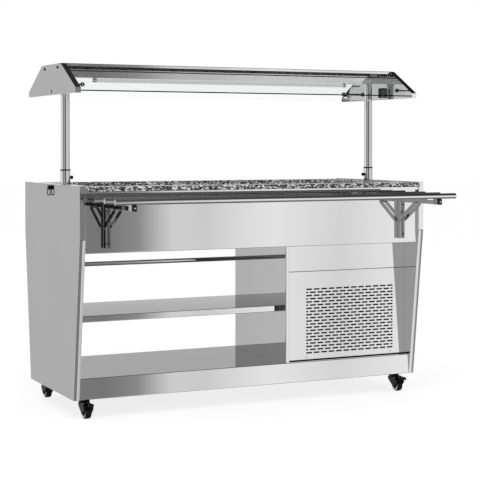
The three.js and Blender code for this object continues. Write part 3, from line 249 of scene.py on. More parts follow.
class Form:
    """Surfaces gathered as arrays until they become one mesh."""

    def __init__(self) -> None:
        """Starts with nothing."""
        self.points: list[Array] = []
        self.quads: list[Array] = []
        self.ends: list[list[int]] = []
        self.count = 0

    def skin(
        self, grid: Array, ring_rows: bool = False, ring_columns: bool = True, ends: bool = False
    ) -> "Form":
        """Adds a surface over a grid of points.

        Args:
            grid: Points in rows and columns.
            ring_rows: True if the last row joins the first.
            ring_columns: True if the last column joins the first.
            ends: True if a flat face closes the first and the last row.

        Returns:
            The form itself.
        """
        rows, columns = grid.shape[:2]
        index = self.count + np.arange(rows * columns).reshape(rows, columns)
        if ends:
            self.ends += [index[0].tolist(), index[-1].tolist()]
        if ring_rows:
            index = np.vstack([index, index[:1]])
        if ring_columns:
            index = np.hstack([index, index[:, :1]])
        quads = np.stack([index[:-1, :-1], index[1:, :-1], index[1:, 1:], index[:-1, 1:]], axis=-1)
        self.points.append(grid.reshape(-1, 3))
        self.quads.append(quads.reshape(-1, 4))
        self.count += rows * columns
        return self

    def prism(self, section: Array, axis: Axis, low: float, high: float) -> "Form":
        """Adds a closed section carried straight along an axis, from low to high.

        Args:
            section: The closed outline in the axis's two cross-wise coordinates.
            axis: Axis it runs along.
            low: Where it begins.
            high: Where it ends.

        Returns:
            The form itself.
        """
        station = np.array([[low], [high]])
        return self.skin(axis.place(section[:, 0], section[:, 1], station), ends=True)

    def lathe(
        self, profile: Rows, axis: Axis, centre: Sequence[float], count: int = 48, pipe: bool = False
    ) -> "Form":
        """Adds a profile turned about an axis, closed upon itself if it is a pipe's wall."""
        return self.skin(turned(profile, axis, centre, count), ring_rows=pipe)

    def folded(self, line: Array, thickness: float, axis: Axis, low: float, high: float) -> "Form":
        """Adds a folded sheet: an open line, given a thickness to its left, carried along an axis.

        Args:
            line: The sheet's outer line in the axis's two cross-wise coordinates.
            thickness: The sheet's thickness, to the left of the line.
            axis: Axis the folds run along.
            low: Where it begins.
            high: Where it ends.

        Returns:
            The form itself.
        """
        inner = offset(line, thickness)
        corners = ((line, low), (line, high), (inner, high), (inner, low))
        edges = [axis.place(side[:, 0], side[:, 1], station) for side, station in corners]
        return self.skin(np.stack(edges, axis=1), ends=True)

    def piece(
        self,
        name: str,
        finish: "Finish",
        body: str,
        stands_for: Sequence[str] = (),
        bend: float = 32.0,
        bevel: float = 0.0,
    ) -> bpy.types.Object:
        """Makes the mesh, closes its seams and poles, points its faces outwards and dresses it.

        Args:
            name: Name of the new object.
            finish: Finish it is dressed in.
            body: CAD body it rides on.
            stands_for: CAD nodes it replaces.
            bend: Angle in degrees above which an edge stays sharp.
            bevel: Width of the bevel on its sharp edges.

        Returns:
            The finished object, at the origin.
        """
        mesh = bpy.data.meshes.new(name)
        faces = np.concatenate(self.quads).tolist() + self.ends
        mesh.from_pydata(np.concatenate(self.points).tolist(), [], faces)
        shell = bmesh.new()
        shell.from_mesh(mesh)
        bmesh.ops.remove_doubles(shell, verts=shell.verts, dist=SEAM)
        bmesh.ops.recalc_face_normals(shell, faces=shell.faces)
        shell.to_mesh(mesh)
        shell.free()
        mesh.polygons.foreach_set("use_smooth", np.ones(len(mesh.polygons), dtype=bool))
        mesh.set_sharp_from_angle(angle=math.radians(bend))
        thing = bpy.data.objects.new(name, mesh)
        bpy.context.collection.objects.link(thing)
        if bevel:
            edge = thing.modifiers.new("eased_edges", "BEVEL")
            edge.width = bevel
            edge.segments = 2
            edge.limit_method = "ANGLE"
            edge.angle_limit = math.radians(bend)
            edge.harden_normals = True
        finish.dress(thing)
        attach(thing, body)
        if stands_for:
            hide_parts(*stands_for)
        LOG.info("piece %s rides on %s, %d faces", name, body, len(mesh.polygons))
        return thing


# ---------- finishes ----------


class Slot(Enum):
    """The record's material slots."""

    SATIN_STEEL = "satin_steel"
    BRIGHT_STEEL = "bright_steel"
    CHROMED_TUBE = "chromed_tube"
    SPECKLED_STONE = "speckled_stone"
    BLACK_PLASTIC = "black_plastic"
    BLACK_TREAD = "black_tread"
    BLACK_PAINT = "black_paint"
    BARE_ALLOY = "bare_alloy"
    LAMP_WHITE = "lamp_white"
    CLEAR_GLASS = "clear_glass"


class Grain(Enum):
    """Direction of the brush marks, as the closeness of the marks along X, Y and Z."""

    ALONG_X = (2.0, 900.0, 900.0)
    ALONG_Z = (900.0, 900.0, 2.0)


Socket = bpy.types.NodeSocket
Stops = Sequence[tuple[float, float]]


class Nodes:
    """A node tree, with short calls for the nodes that the finishes and the set share."""

    def __init__(self, tree: bpy.types.NodeTree) -> None:
        """Takes the tree over."""
        self.tree = tree

    def add(self, kind: str, inputs: dict[str | int, object], **settings: object) -> bpy.types.Node:
        """Adds a node.

        Args:
            kind: The node's type.
            inputs: Values or outputs of other nodes, by socket name or number.
            settings: The node's own settings.

        Returns:
            The node.
        """
        node = self.tree.nodes.new(kind)
        for name, value in settings.items():
            setattr(node, name, value)
        for name, value in inputs.items():
            if isinstance(value, Socket):
                self.tree.links.new(value, node.inputs[name])
            else:
                node.inputs[name].default_value = value
        return node

    def math(self, operation: str, first: Socket, second: Socket | float, clamp: bool = False) -> Socket:
        """Returns the result of an operation on two numbers, held between 0 and 1 if clamp is set."""
        inputs = {0: first, 1: second}
        return self.add("ShaderNodeMath", inputs, operation=operation, use_clamp=clamp).outputs[0]

    def spread(
        self, value: Socket, low: float = 0.0, high: float = 1.0, start: float = 0.3, end: float = 0.7
    ) -> Socket:
        """Returns a value from start to end carried over to low to high, and held beyond them."""
        span = {"Value": value, "From Min": start, "From Max": end, "To Min": low, "To Max": high}
        return self.add("ShaderNodeMapRange", span).outputs["Result"]

    def blend(self, share: Socket, first: object, second: object) -> Socket:
        """Returns a colour between two colours."""
        return self.add("ShaderNodeMix", {0: share, 6: first, 7: second}, data_type="RGBA").outputs[2]

    def steps(self, value: Socket, stops: Stops, smooth: bool = True) -> Socket:
        """Makes a grey that goes through stops.

        Args:
            value: What the grey follows, from 0 to 1.
            stops: Places on that range, each with its level.
            smooth: True if the grey slides from stop to stop, False if it jumps.

        Returns:
            The grey.
        """
        ramp = self.add("ShaderNodeValToRGB", {"Fac": value})
        ramp.color_ramp.interpolation = "LINEAR" if smooth else "CONSTANT"
        marks = ramp.color_ramp.elements
        while len(marks) < len(stops):
            marks.new(1.0)
        for mark, (spot, level) in zip(marks, stops):
            mark.position = spot
            mark.color = (level, level, level, 1.0)
        return ramp.outputs["Color"]


class Paintbox(Nodes):
    """A material's nodes, and what they feed on its shader."""

    def __init__(self, name: str) -> None:
        """Makes an empty material with one surface shader."""
        self.material = bpy.data.materials.new(name)
        self.material.use_nodes = True
        super().__init__(self.material.node_tree)
        self.shader = self.tree.nodes["Principled BSDF"]
        self.place = self.tree.nodes.new("ShaderNodeTexCoord").outputs["Object"]

    def plain(self, **sockets: float | Sequence[float]) -> None:
        """Sets the shader's own sockets. An underscore in a name stands for a space."""
        for name, value in sockets.items():
            self.shader.inputs[name.replace("_", " ")].default_value = value

    def noise(self, scale: Sequence[float] | float, detail: float = 2.0) -> Socket:
        """Returns a noise value whose lumps are 1/scale long along X, Y and Z."""
        spot = self.add("ShaderNodeMapping", {"Vector": self.place, "Scale": np.broadcast_to(scale, 3).tolist()})
        cloud = {"Vector": spot.outputs[0], "Scale": 1.0, "Detail": detail}
        return self.add("ShaderNodeTexNoise", cloud).outputs["Fac"]

    def colour(self, value: Socket) -> None:
        """Lets a node colour the surface."""
        self.tree.links.new(value, self.shader.inputs["Base Color"])

    def gloss(self, value: Socket) -> None:
        """Lets a node set the roughness."""
        self.tree.links.new(value, self.shader.inputs["Roughness"])

    def relief(self, height: Socket, depth: float) -> None:
        """Raises the surface by a height value times depth, as a bump."""
        bump = self.add("ShaderNodeBump", {"Height": height, "Distance": depth})
        self.tree.links.new(bump.outputs["Normal"], self.shader.inputs["Normal"])


def grey(level: float, warmth: float = 0.0) -> tuple[float, float, float, float]:
    """Returns a grey, a little warmer above zero warmth and cooler below."""
    return (level * (1 + warmth), level, level * (1 - warmth), 1.0)


def about(level: float, share: float) -> tuple[float, float]:
    """Returns the ends of the range that lies evenly about a level."""
    return level * (1 - share), level * (1 + share)


@dataclass(frozen=True)
class Finish:
    """What every finish has: its slot, and a tag that tells its variants apart."""

    slot: Slot
    tag: str = "plain"

    def material(self) -> bpy.types.Material:
        """Returns this finish's material, made on first use."""
        name = f"{self.slot.value}_{self.tag}"
        ready = bpy.data.materials.get(name)
        if ready:
            return ready
        box = Paintbox(name)
        self.paint(box)
        return box.material

    def paint(self, box: Paintbox) -> None:
        """Builds the nodes."""
        raise NotImplementedError

    def dress(self, thing: bpy.types.Object) -> None:
        """Gives the object this finish in all its material slots."""
        if not thing.material_slots:
            thing.data.materials.append(self.material())
        for place in thing.material_slots:
            place.material = self.material()


@dataclass(frozen=True)
class Steel(Finish):
    """Stainless steel or chrome: level, roughness, brush marks and the sheet's faint waviness."""

    level: float = 0.62
    roughness: float = 0.28
    grain: Grain = Grain.ALONG_X
    marks: float = 1.0
    wave_depth: float = 1e-5
    mark_tone: float = 0.012
    mark_gloss: float = 0.1
    handling: float = 0.015
    smear: tuple[float, float] = (0.92, 1.1)
    clouds: float = 3.0
    swell: tuple[float, float, float] = (4.0, 4.0, 6.0)

    def paint(self, box: Paintbox) -> None:
        """Brush marks vary the polish and tone a little, clouds of handling add to it, and a slow
        swell bends the reflections as in thin sheet."""
        box.plain(Metallic=1.0)
        marks = box.noise(self.grain.value)
        clouds = box.noise(self.clouds, detail=3.0)
        fine = box.spread(marks, *about(1, self.mark_tone * self.marks))
        tone = box.math("MULTIPLY", box.spread(clouds, *about(1, self.handling)), fine)
        base = {0: grey(self.level)[:3], "Scale": tone}
        box.colour(box.add("ShaderNodeVectorMath", base, operation="SCALE").outputs[0])
        brushed = box.spread(marks, *about(self.roughness, self.mark_gloss * self.marks))
        box.gloss(box.math("MULTIPLY", box.spread(clouds, *self.smear), brushed))
        box.relief(box.noise(self.swell, detail=0.0), self.wave_depth)


@dataclass(frozen=True)
class Stone(Finish):
    """Dark grey worktop with fine light and dark chips in it."""

    chips: tuple[float, ...] = (126.5, 230.0, 230.0)
    lumps: float = 140.0
    ragged: float = 0.006
    grit: float = 900.0
    relief: float = 1e-5
    greys: Stops = ((0.0, 0.010), (0.26, 0.045), (0.44, 0.17), (0.62, 0.48), (0.80, 0.92))
    matrix: float = 0.08
    matrix_share: float = 0.18
    polish: tuple[float, float] = (0.16, 0.26)

    def paint(self, box: Paintbox) -> None:
        """Ragged chips take one of a few greys, finer grit breaks them up, and the polish is even."""
        lumps = box.add("ShaderNodeTexNoise", {"Vector": box.place, "Scale": self.lumps, "Detail": 2.0})
        sway = {0: lumps.outputs["Color"], "Scale": self.ragged}
        bent = box.add("ShaderNodeVectorMath", sway, operation="SCALE").outputs[0]
        moved = box.add("ShaderNodeVectorMath", {0: box.place, 1: bent}, operation="ADD").outputs[0]
        spot = box.add("ShaderNodeMapping", {"Vector": moved, "Scale": self.chips}).outputs[0]
        cells = box.add("ShaderNodeTexVoronoi", {"Vector": spot, "Scale": 1.0}).outputs["Color"]
        pick = box.add("ShaderNodeSeparateColor", {"Color": cells}).outputs[0]
        greys = box.steps(pick, self.greys, smooth=False)
        grit = box.noise(self.grit)
        box.colour(box.blend(box.spread(grit, 0.0, self.matrix_share), greys, grey(self.matrix)))
        box.gloss(box.spread(grit, *self.polish))
        box.plain(IOR=1.5)
        box.relief(grit, self.relief)


@dataclass(frozen=True)
class Moulded(Finish):
    """Moulded plastic, rubber or sprayed paint: level, roughness and a fine pebbled skin."""

    level: float = 0.02
    roughness: float = 0.4
    pebble: float = 1500.0
    depth: float = 1.5e-5
    unevenness: float = 0.1
    clouds: float = 25.0
    tones: tuple[float, float] = (0.8, 1.25)
    shine: float = 0.22

    def paint(self, box: Paintbox) -> None:
        """A fine pebbled relief, with a slightly uneven tone and polish."""
        clouds = box.noise(self.clouds, detail=3.0)
        box.colour(box.blend(box.spread(clouds), *(grey(self.level * tone) for tone in self.tones)))
        box.gloss(box.spread(clouds, *about(self.roughness, self.unevenness)))
        box.plain(Specular_IOR_Level=self.shine)
        box.relief(box.noise(self.pebble, detail=1.0), self.depth)


@dataclass(frozen=True)
class Diffuser(Finish):
    """Milky lamp cover."""

    level: float = 0.75
    coolness: float = -0.01
    ribs: tuple[float, float, float] = (1.5, 900.0, 900.0)
    rib_tones: tuple[float, float] = (0.97, 1.0)
    rib_depth: float = 1e-5
    polish: tuple[float, float] = (0.25, 0.35)
    glow: float = 0.38

    def paint(self, box: Paintbox) -> None:
        """Fine ribs run along the cover and spread the light."""
        ribs = box.noise(self.ribs, detail=0.0)
        tones = (grey(self.level * tone, self.coolness) for tone in self.rib_tones)
        box.colour(box.blend(box.spread(ribs), *tones))
        box.gloss(box.spread(ribs, *self.polish))
        box.plain(Specular_IOR_Level=0.5, Emission_Color=grey(1.0), Emission_Strength=self.glow)
        box.relief(ribs, self.rib_depth)


@dataclass(frozen=True)
class Pane(Finish):
    """Clear toughened glass with a faint grey-green body."""

    bend: float = 1.16
    tints: tuple[tuple[float, ...], ...] = ((0.985, 0.995, 0.992, 1.0), (0.99, 0.998, 0.995, 1.0))
    haze: float = 0.006
    shadow: tuple[float, ...] = (0.93, 0.95, 0.945, 1.0)

    def paint(self, box: Paintbox) -> None:
        """Clear all through, with barely any unevenness in the polish."""
        clouds = box.noise(2.0, detail=0.0)
        box.colour(box.blend(box.spread(clouds), *self.tints))
        box.gloss(box.spread(clouds, 0.0, self.haze))
        box.plain(IOR=self.bend, Transmission_Weight=1.0)
        path = box.add("ShaderNodeLightPath", {}).outputs
        let = box.math("MAXIMUM", path["Is Shadow Ray"], path["Is Diffuse Ray"])
        clear = box.add("ShaderNodeBsdfTransparent", {"Color": self.shadow}).outputs[0]
        both = box.add("ShaderNodeMixShader", {0: let, 1: box.shader.outputs[0], 2: clear})
        box.tree.links.new(both.outputs[0], box.tree.nodes["Material Output"].inputs["Surface"])


SATIN = Steel(Slot.SATIN_STEEL, "along_x", 0.80, 0.03, Grain.ALONG_X, 0.5)
SIDE_STEEL = Steel(Slot.SATIN_STEEL, "upright", 0.79, 0.06, Grain.ALONG_Z, 0.5, 4e-6)
BRACKET_STEEL = Steel(Slot.SATIN_STEEL, "bracket", 0.62, 0.05, Grain.ALONG_Z, 0.5)
CRADLE_STEEL = Steel(Slot.SATIN_STEEL, "cradle", 0.32, 0.30, Grain.ALONG_X, 0.5)
CHANNEL_STEEL = Steel(Slot.SATIN_STEEL, "channel", 0.80, 0.32, Grain.ALONG_Z, 0.5)
COLLAR_STEEL = Steel(Slot.BRIGHT_STEEL, "collar", 0.95, 0.55, Grain.ALONG_X, 0.5)
BRIGHT = Steel(Slot.BRIGHT_STEEL, "along_x", 0.80, 0.022, Grain.ALONG_X, 0.5)
BEAM_STEEL = Steel(Slot.BRIGHT_STEEL, "beam", 0.71, 0.09, Grain.ALONG_X, 0.5)
CHROME = Steel(Slot.CHROMED_TUBE, "along_x", 0.80, 0.04, Grain.ALONG_X, 0.3, 0.0)
CHROME_UPRIGHT = Steel(Slot.CHROMED_TUBE, "along_z", 0.80, 0.04, Grain.ALONG_Z, 0.3, 0.0)
# The alloy's low level is painted shade: it darkens the condenser and fan inside the bay.
ALLOY = Steel(Slot.BARE_ALLOY, "rolled", 0.34, 0.45, Grain.ALONG_Z, 2.0)
STONE = Stone(Slot.SPECKLED_STONE, "chips")
RING = Steel(Slot.BARE_ALLOY, "ring", 0.85, 0.32, Grain.ALONG_Z, 0.5)
PLASTIC = Moulded(Slot.BLACK_PLASTIC, "moulded", 0.006, 0.30)
# Dark grey laid into the beam grooves: painted shade.
GROOVE_SHADE_FINISH = Moulded(Slot.BLACK_PLASTIC, "grey", 0.09, 0.45)
CASE = Moulded(Slot.BLACK_PLASTIC, "case", 0.13, 0.5)
# Near black: the washers and glass seals are black, and the same black paints shade in the end plates' slots, under
# the roof lips and behind the grille.
BLACK_SEAL_AND_SHADE = Moulded(Slot.BLACK_PLASTIC, "seal", 0.004, 0.6)
RUBBER = Moulded(Slot.BLACK_TREAD, "tread", 0.008, 0.5, 900.0, 4e-5)
PAINT = Moulded(Slot.BLACK_PAINT, "sprayed", 0.02, 0.32, 500.0, 2e-5)
LAMP = Diffuser(Slot.LAMP_WHITE, "milky")
GLASS = Pane(Slot.CLEAR_GLASS, "clear")


# ---------- studio ----------

# Soft boxes and dark gaps round the set: (bearing in degrees, 0 towards the guest, + to the right,
# level).
WALLS = (
    (-180, 0.48), (-155, 0.53), (-140, 0.86), (-98, 0.95), (-88, 0.55), (-75, 0.24), (-58, 0.26),
    (-40, 0.56), (-30, 0.44), (-27, 0.02), (-15, 0.02), (-12, 0.22), (0, 0.22), (6, 0.85), (13, 0.85),
    (17, 0.24), (20.9, 0.21), (22.1, 0.82), (23.3, 0.68), (26.5, 0.97), (29.4, 0.80), (32, 0.97),
    (43, 0.95), (49, 0.28), (60, 0.26), (68, 0.85), (80, 0.75), (110, 0.26), (135, 0.40), (145, 0.95),
    (165, 0.98), (180, 0.48),
)
# How the set darkens below and above eye level, ahead and behind: (sine of the height angle, level).
AHEAD = (
    (-1.0, 0.12), (-0.82, 0.30), (-0.55, 0.75), (-0.4, 1.0), (0.15, 1.0), (0.42, 0.15), (0.9, 0.05),
    (0.94, 0.35), (1.0, 0.45),
)
BEHIND = (
    (-1.0, 0.50), (-0.88, 0.45), (-0.6, 0.55), (-0.3, 0.95), (0.07, 1.0), (0.12, 0.46), (0.18, 0.44),
    (0.6, 0.03), (0.82, 0.03), (0.87, 0.26), (1.0, 0.45),
)


@dataclass(frozen=True)
class Studio:
    """Camera, floor and soft light of a plain product studio."""

    lens: float = 103.062
    sensor: float = 36.0
    turn: float = 25.5848
    tilt: float = -0.973
    shift_x: float = -0.012795
    shift_y: float = -0.15
    stand: tuple[float, float, float] = (-2.3846, -5.1881, 1.0380)
    far_end: float = 100.0
    room_level: float = 0.80
    floor_half: float = 30.0
    floor_tone: float = 0.24
    floor_glow: float = 0.80
    lamp_power: float = 60.0
    lamp_size: tuple[float, float] = (3.0, 2.2)
    lamp_stand: tuple[float, float, float] = (-1.2, -2.2, 3.4)
    lamp_turn: tuple[float, float, float] = (42.0, 0.0, -28.0)

    def camera(self) -> None:
        """Sets the camera up at the photograph's viewpoint."""
        lens = bpy.data.cameras.new("camera")
        lens.sensor_width = self.sensor
        lens.lens = self.lens
        lens.shift_x = self.shift_x
        lens.shift_y = self.shift_y
        lens.clip_end = self.far_end
        eye = bpy.data.objects.new("camera", lens)
        eye.location = middle() + self.stand
        eye.rotation_euler = (math.radians(90 + self.tilt), 0.0, -math.radians(self.turn))
        bpy.context.collection.objects.link(eye)
        bpy.context.scene.camera = eye
        bpy.context.scene.view_settings.view_transform = "Standard"

    def floor(self) -> None:
        """Lays a pale floor that keeps the bar's soft shadow and blends into the white behind."""
        half = self.floor_half
        corners = np.pad(rectangle(-half, half, -half, half), ((0, 0), (0, 1)))
        mesh = bpy.data.meshes.new("floor")
        mesh.from_pydata(corners.tolist(), [], [(0, 1, 2, 3)])
        ground = bpy.data.objects.new("floor", mesh)
        bpy.context.collection.objects.link(ground)
        ground.visible_glossy = False
        material = bpy.data.materials.new("pale_floor")
        material.use_nodes = True
        box = Nodes(material.node_tree)
        box.tree.nodes.clear()
        path = box.add("ShaderNodeLightPath", {}).outputs
        seen = box.math("MAXIMUM", path["Is Camera Ray"], path["Is Transmission Ray"])
        matt = box.add("ShaderNodeBsdfDiffuse", {"Color": grey(self.floor_tone)}).outputs[0]
        glow = box.add("ShaderNodeEmission", {"Strength": box.math("MULTIPLY", seen, self.floor_glow)})
        both = box.add("ShaderNodeAddShader", {0: matt, 1: glow.outputs[0]}).outputs[0]
        box.add("ShaderNodeOutputMaterial", {"Surface": both})
        mesh.materials.append(material)

    def room(self) -> None:
        """Surrounds the bar with the studio: white to the eye, an even light to matt surfaces, and
        soft boxes with dark gaps between them to polished metal."""
        world = bpy.data.worlds.new("studio")
        bpy.context.scene.world = world
        world.use_nodes = True
        world.cycles.sampling_method = "NONE"
        box = Nodes(world.node_tree)
        box.tree.nodes.clear()
        ray = box.add("ShaderNodeTexCoord", {}).outputs["Generated"]
        east, north, up = box.add("ShaderNodeSeparateXYZ", {0: ray}).outputs
        bearing = box.math("ARCTAN2", east, box.math("MULTIPLY", north, -1.0))
        round_set = box.spread(bearing, start=-math.pi, end=math.pi)
        walls = box.steps(round_set, [((angle + 180) / 360, level) for angle, level in WALLS])
        ahead, behind = (
            box.steps(box.spread(up, start=-1.0, end=1.0), [((height + 1) / 2, level) for height, level in stops])
            for stops in (AHEAD, BEHIND)
        )
        fade = box.blend(box.spread(north, start=-0.3, end=0.5), ahead, behind)
        layers = {0: 1.0, 6: walls, 7: fade}
        metal = box.add("ShaderNodeMix", layers, data_type="RGBA", blend_type="MULTIPLY").outputs[2]
        path = box.add("ShaderNodeLightPath", {}).outputs
        bounced = box.math("SUBTRACT", path["Glossy Depth"], path["Is Diffuse Ray"], clamp=True)
        matt = box.blend(bounced, grey(self.room_level), metal)
        turns = box.math("ADD", path["Glossy Depth"], path["Diffuse Depth"])
        through = box.math("SUBTRACT", path["Is Transmission Ray"], turns, clamp=True)
        seen = box.math("MAXIMUM", path["Is Camera Ray"], through)
        shade = box.add("ShaderNodeBackground", {"Color": box.blend(seen, matt, grey(1.0)), "Strength": 1.0})
        box.add("ShaderNodeOutputWorld", {"Surface": shade.outputs[0]}, is_active_output=True)

    def lamp(self) -> None:
        """Hangs one wide soft lamp over the guest's left."""
        glow = bpy.data.lights.new("soft_lamp", "AREA")
        glow.shape = "RECTANGLE"
        glow.size, glow.size_y = self.lamp_size
        glow.energy = self.lamp_power
        lamp = bpy.data.objects.new("soft_lamp", glow)
        lamp.location = middle() + self.lamp_stand
        lamp.rotation_euler = np.radians(self.lamp_turn)
        lamp.visible_glossy = False
        lamp.visible_camera = False
        bpy.context.collection.objects.link(lamp)

    def build(self) -> None:
        """Sets the whole studio up."""
        self.camera()
        self.floor()
        self.room()
        self.lamp()


# ---------- the bar ----------

# Which way along X a side lies from the middle, and along Y a row.
WAY = {"left": -1.0, "right": 1.0, "front": -1.0, "rear": 1.0}
SIDES = ("left", "right")
ROWS = ("front", "rear")


def middle() -> Array:
    """Returns the point on the floor under the worktop's centre."""
    return Space.of("worktop").middle * (1, 1, 0)


def fold(
    name: str, finish: Finish, body: str, node: str, path: Rows, axis: Axis,
    bend: float = 0.003, thickness: float = 0.0015, steps: int = 7,
) -> None:
    """Puts a folded sheet with softly rounded folds in a CAD node's place, as long as its box.

    Args:
        name: Name of the new object.
        finish: Finish it is dressed in.
        body: CAD body it rides on.
        node: CAD node it replaces.
        path: The sheet's outer line in the axis's two cross-wise coordinates.
        axis: Axis the folds run along.
        bend: Distance from a corner to where its fold begins.
        thickness: The sheet's thickness, to the left of the path.
        steps: Points on each fold.
    """
    space, along = Space.of(node), axis.value[2]
    line = eased(path, bend, steps, closed=False)
    form = Form().folded(line, thickness, axis, space.low[along], space.high[along])
    form.piece(name, finish, body, [node], bend=50)


def rod(name: str, finish: Finish, body: str, node: str, axis: Axis, ease: float = 0.0008, sides: int = 64) -> None:
    """Puts a turned rod in a CAD node's place.

    Args:
        name: Name of the new object.
        finish: Finish it is dressed in.
        body: CAD body it rides on.
        node: CAD node it replaces.
        axis: Axis it runs along.
        ease: Rounding of its rims.
        sides: Points round it.
    """
    space = Space.of(node)
    across, along = axis.value[1:]
    profile = capped_rod(space.size[across] / 2, space.size[along], ease)
    Form().lathe(profile, axis, space.start(axis), sides).piece(name, finish, body, [node])


@dataclass(frozen=True)
class SideWalls:
    """The two hexagonal side panels with their pointed lower edges, and the cord hook."""

    half: float = 0.350
    foot_half: float = 0.275
    kink_drop: float = 0.200
    nose: float = 0.0027
    bevel: float = 0.0016
    hook_block: float = 0.015
    hook_slack: tuple[float, float] = (0.005, 0.004)
    block_inset: float = 0.003
    block_ease: float = 0.003
    ring_overlap: float = 0.002
    ring_ease: float = 0.004
    wire: float = 0.0022
    wire_width: float = 1.6
    wire_sides: int = 12

    def panel(self, side: str) -> None:
        """Makes one panel as rows of its plan outline, from the foot up.

        Each row is the outline at one height, and the nose points taper with it. At the kink the
        nose ends in a small ledge, and above it the outline is a plain rectangle.

        Args:
            side: "left" or "right".
        """
        space = Space.of(f"side_panel_{side}")
        x0, x1, xm = space.low[0], space.high[0], space.middle[0]
        foot, top = space.low[2], space.high[2]
        kink = top - self.kink_drop
        across = np.array([x0, xm, x1, x1, xm, x0])
        way = np.array([-1, -1, -1, 1, 1, 1])
        out = np.array([0, 1, 0, 0, 1, 0])
        lower, upper = (foot, self.foot_half, self.nose), (kink, self.half, self.nose)
        rows = [
            Axis.Z.place(across, middle()[1] + way * (half + out * nose), height)
            for height, half, nose in (lower, upper, (kink, self.half, 0), (top, self.half, 0))
        ]
        form = Form().skin(np.stack(rows), ends=True)
        form.piece(f"side_wall_{side}", SIDE_STEEL, "body", [f"side_panel_{side}"], bend=10, bevel=self.bevel)

    def hook(self) -> None:
        """Makes the hook: a rounded block, and a ring that hangs under it in an upright plane.

        The ring's wire goes round a rounded rectangle and is wider than high: each point's section
        is loop + wire (cos a outwards, 1.6 sin a along Y).
        """
        space = Space.of("cord_hook")
        x0, x1 = space.low[0] + self.hook_slack[0], space.high[0]
        y0, y1 = space.low[1] + self.hook_slack[1], space.high[1] - self.hook_slack[1]
        low, split = space.low[2], space.high[2] - self.hook_block
        block = eased(rectangle(x0 + self.block_inset, x1, y0, y1), self.block_ease)
        form = Form().prism(block, Axis.Z, split, space.high[2])
        ring_top = split + self.ring_overlap
        half_x, half_z = (x1 - x0) / 2 - self.wire, (ring_top - low) / 2 - self.wire
        loop = eased(rectangle(-half_x, half_x, -half_z, half_z), self.ring_ease, 6)
        bearing = np.arctan2(loop[:, 1:], loop[:, :1])
        turn = np.arange(self.wire_sides) * 2 * math.pi / self.wire_sides
        out = self.wire * np.cos(turn)
        x = (x0 + x1) / 2 + loop[:, :1] + out * np.cos(bearing)
        y = space.middle[1] + self.wire_width * self.wire * np.sin(turn)
        z = (low + ring_top) / 2 + loop[:, 1:] + out * np.sin(bearing)
        form.skin(Axis.Z.place(x, y, z), ring_rows=True)
        form.piece("cord_hook_ring", PLASTIC, "body", ["cord_hook"], bevel=0.0008)

    def build(self) -> None:
        """Makes both panels and the hook."""
        for side in SIDES:
            self.panel(side)
        self.hook()


@dataclass(frozen=True)
class WellBody:
    """Worktop, its frame, the fascias, the well and its casing."""

    ease: float = 0.0018
    opening: tuple[float, float] = (0.665, 0.255)
    corner: float = 0.012
    outer_corner: float = 0.002
    bend: float = 0.0035
    sheet: float = 0.0015
    hem: float = 0.006
    foot_overlap: float = 0.0002
    soft: float = 0.3

    def worktop(self) -> None:
        """Carries the slab's profile round its cut-out.

        Rows are closed rounded rectangles that all have the same number of points: the cut-out's
        rim below and above, the slab's outer edge above and below, with an eased edge between.
        """
        space = Space.of("worktop")
        low, high, e, s = space.low[2], space.high[2], self.ease, self.soft * self.ease
        inner = [(0.0, low), (0.0, high - e), (s, high - s), (e, high)]
        outer = [(-e, high), (-s, high - s), (0.0, high - e), (0.0, low + e), (-e, low)]
        rims = ((inner, self.opening, self.corner), (outer, space.size[:2] / 2, self.outer_corner))
        rows = []
        for rim, (half_x, half_y), corner in rims:
            for grow, height in rim:
                x, y = half_x + grow, half_y + grow
                line = eased(rectangle(-x, x, -y, y), corner, 8) + space.middle[:2]
                rows.append(Axis.Z.place(line[:, 0], line[:, 1], height))
        Form().skin(np.stack(rows), ring_rows=True).piece("stone_worktop", STONE, "body", ["worktop"])

    def fascia(self, row: str) -> None:
        """Folds a fascia: an upright sheet whose foot turns inwards in a soft bend.

        Args:
            row: "front" or "rear".
        """
        node, way = f"{row}_fascia", WAY[row]
        space = Space.of(node)
        face, foot = space.end(1, way), space.low[2] - self.foot_overlap
        path = [[face, space.high[2]], [face, foot], [face - way * self.hem, foot]]
        fold(f"fascia_{row}", BRIGHT, "body", node, path, Axis.X, self.bend, -way * self.sheet)

    def build(self) -> None:
        """Makes the worktop and fascias, and dresses the rest."""
        self.worktop()
        for row in ROWS:
            self.fascia(row)
        nodes = frame["nodes"]
        BRIGHT.dress(nodes["worktop_frame"])
        for name in ("cold_well", "well_casing"):
            SATIN.dress(nodes[name])


@dataclass(frozen=True)
class OpenBay:
    """Deck, shelf, divider and rear rail."""

    rail_sides: int = 48
    deck_return: float = 0.085
    hem: float = 0.010

    def tray(self, name: str, node: str, turn_in: float) -> None:
        """Folds the deck or the shelf: a top, two upright faces and a return under each.

        Args:
            name: Name of the new object.
            node: CAD node it replaces.
            turn_in: Width of the returns.
        """
        (_, y0, z0), (_, y1, z1) = Space.of(node).low, Space.of(node).high
        path = [[y1 - turn_in, z0], [y1, z0], [y1, z1], [y0, z1], [y0, z0], [y0 + turn_in, z0]]
        fold(name, SATIN, "body", node, path, Axis.X)

    def divider(self) -> None:
        """Folds the divider: a wall with a flange that turns back at the front and one at the rear."""
        space = Space.of("divider_panel")
        (x0, y0, _), (x1, y1, _) = space.low, space.high
        back = Space.of("grille_panel").high[1]
        path = [[x1, y1], [x0, y1], [x0, y0], [x1, y0], [x1, back]]
        fold("divider_sheet", BRIGHT, "body", "divider_panel", path, Axis.Z)

    def build(self) -> None:
        """Folds the sheets and turns the rail."""
        self.tray("deck_sheet", "base_deck", self.deck_return)
        self.tray("shelf_sheet", "middle_shelf", self.hem)
        self.divider()
        rod("rear_rail_tube", CHROME, "body", "rear_rail", Axis.X, sides=self.rail_sides)


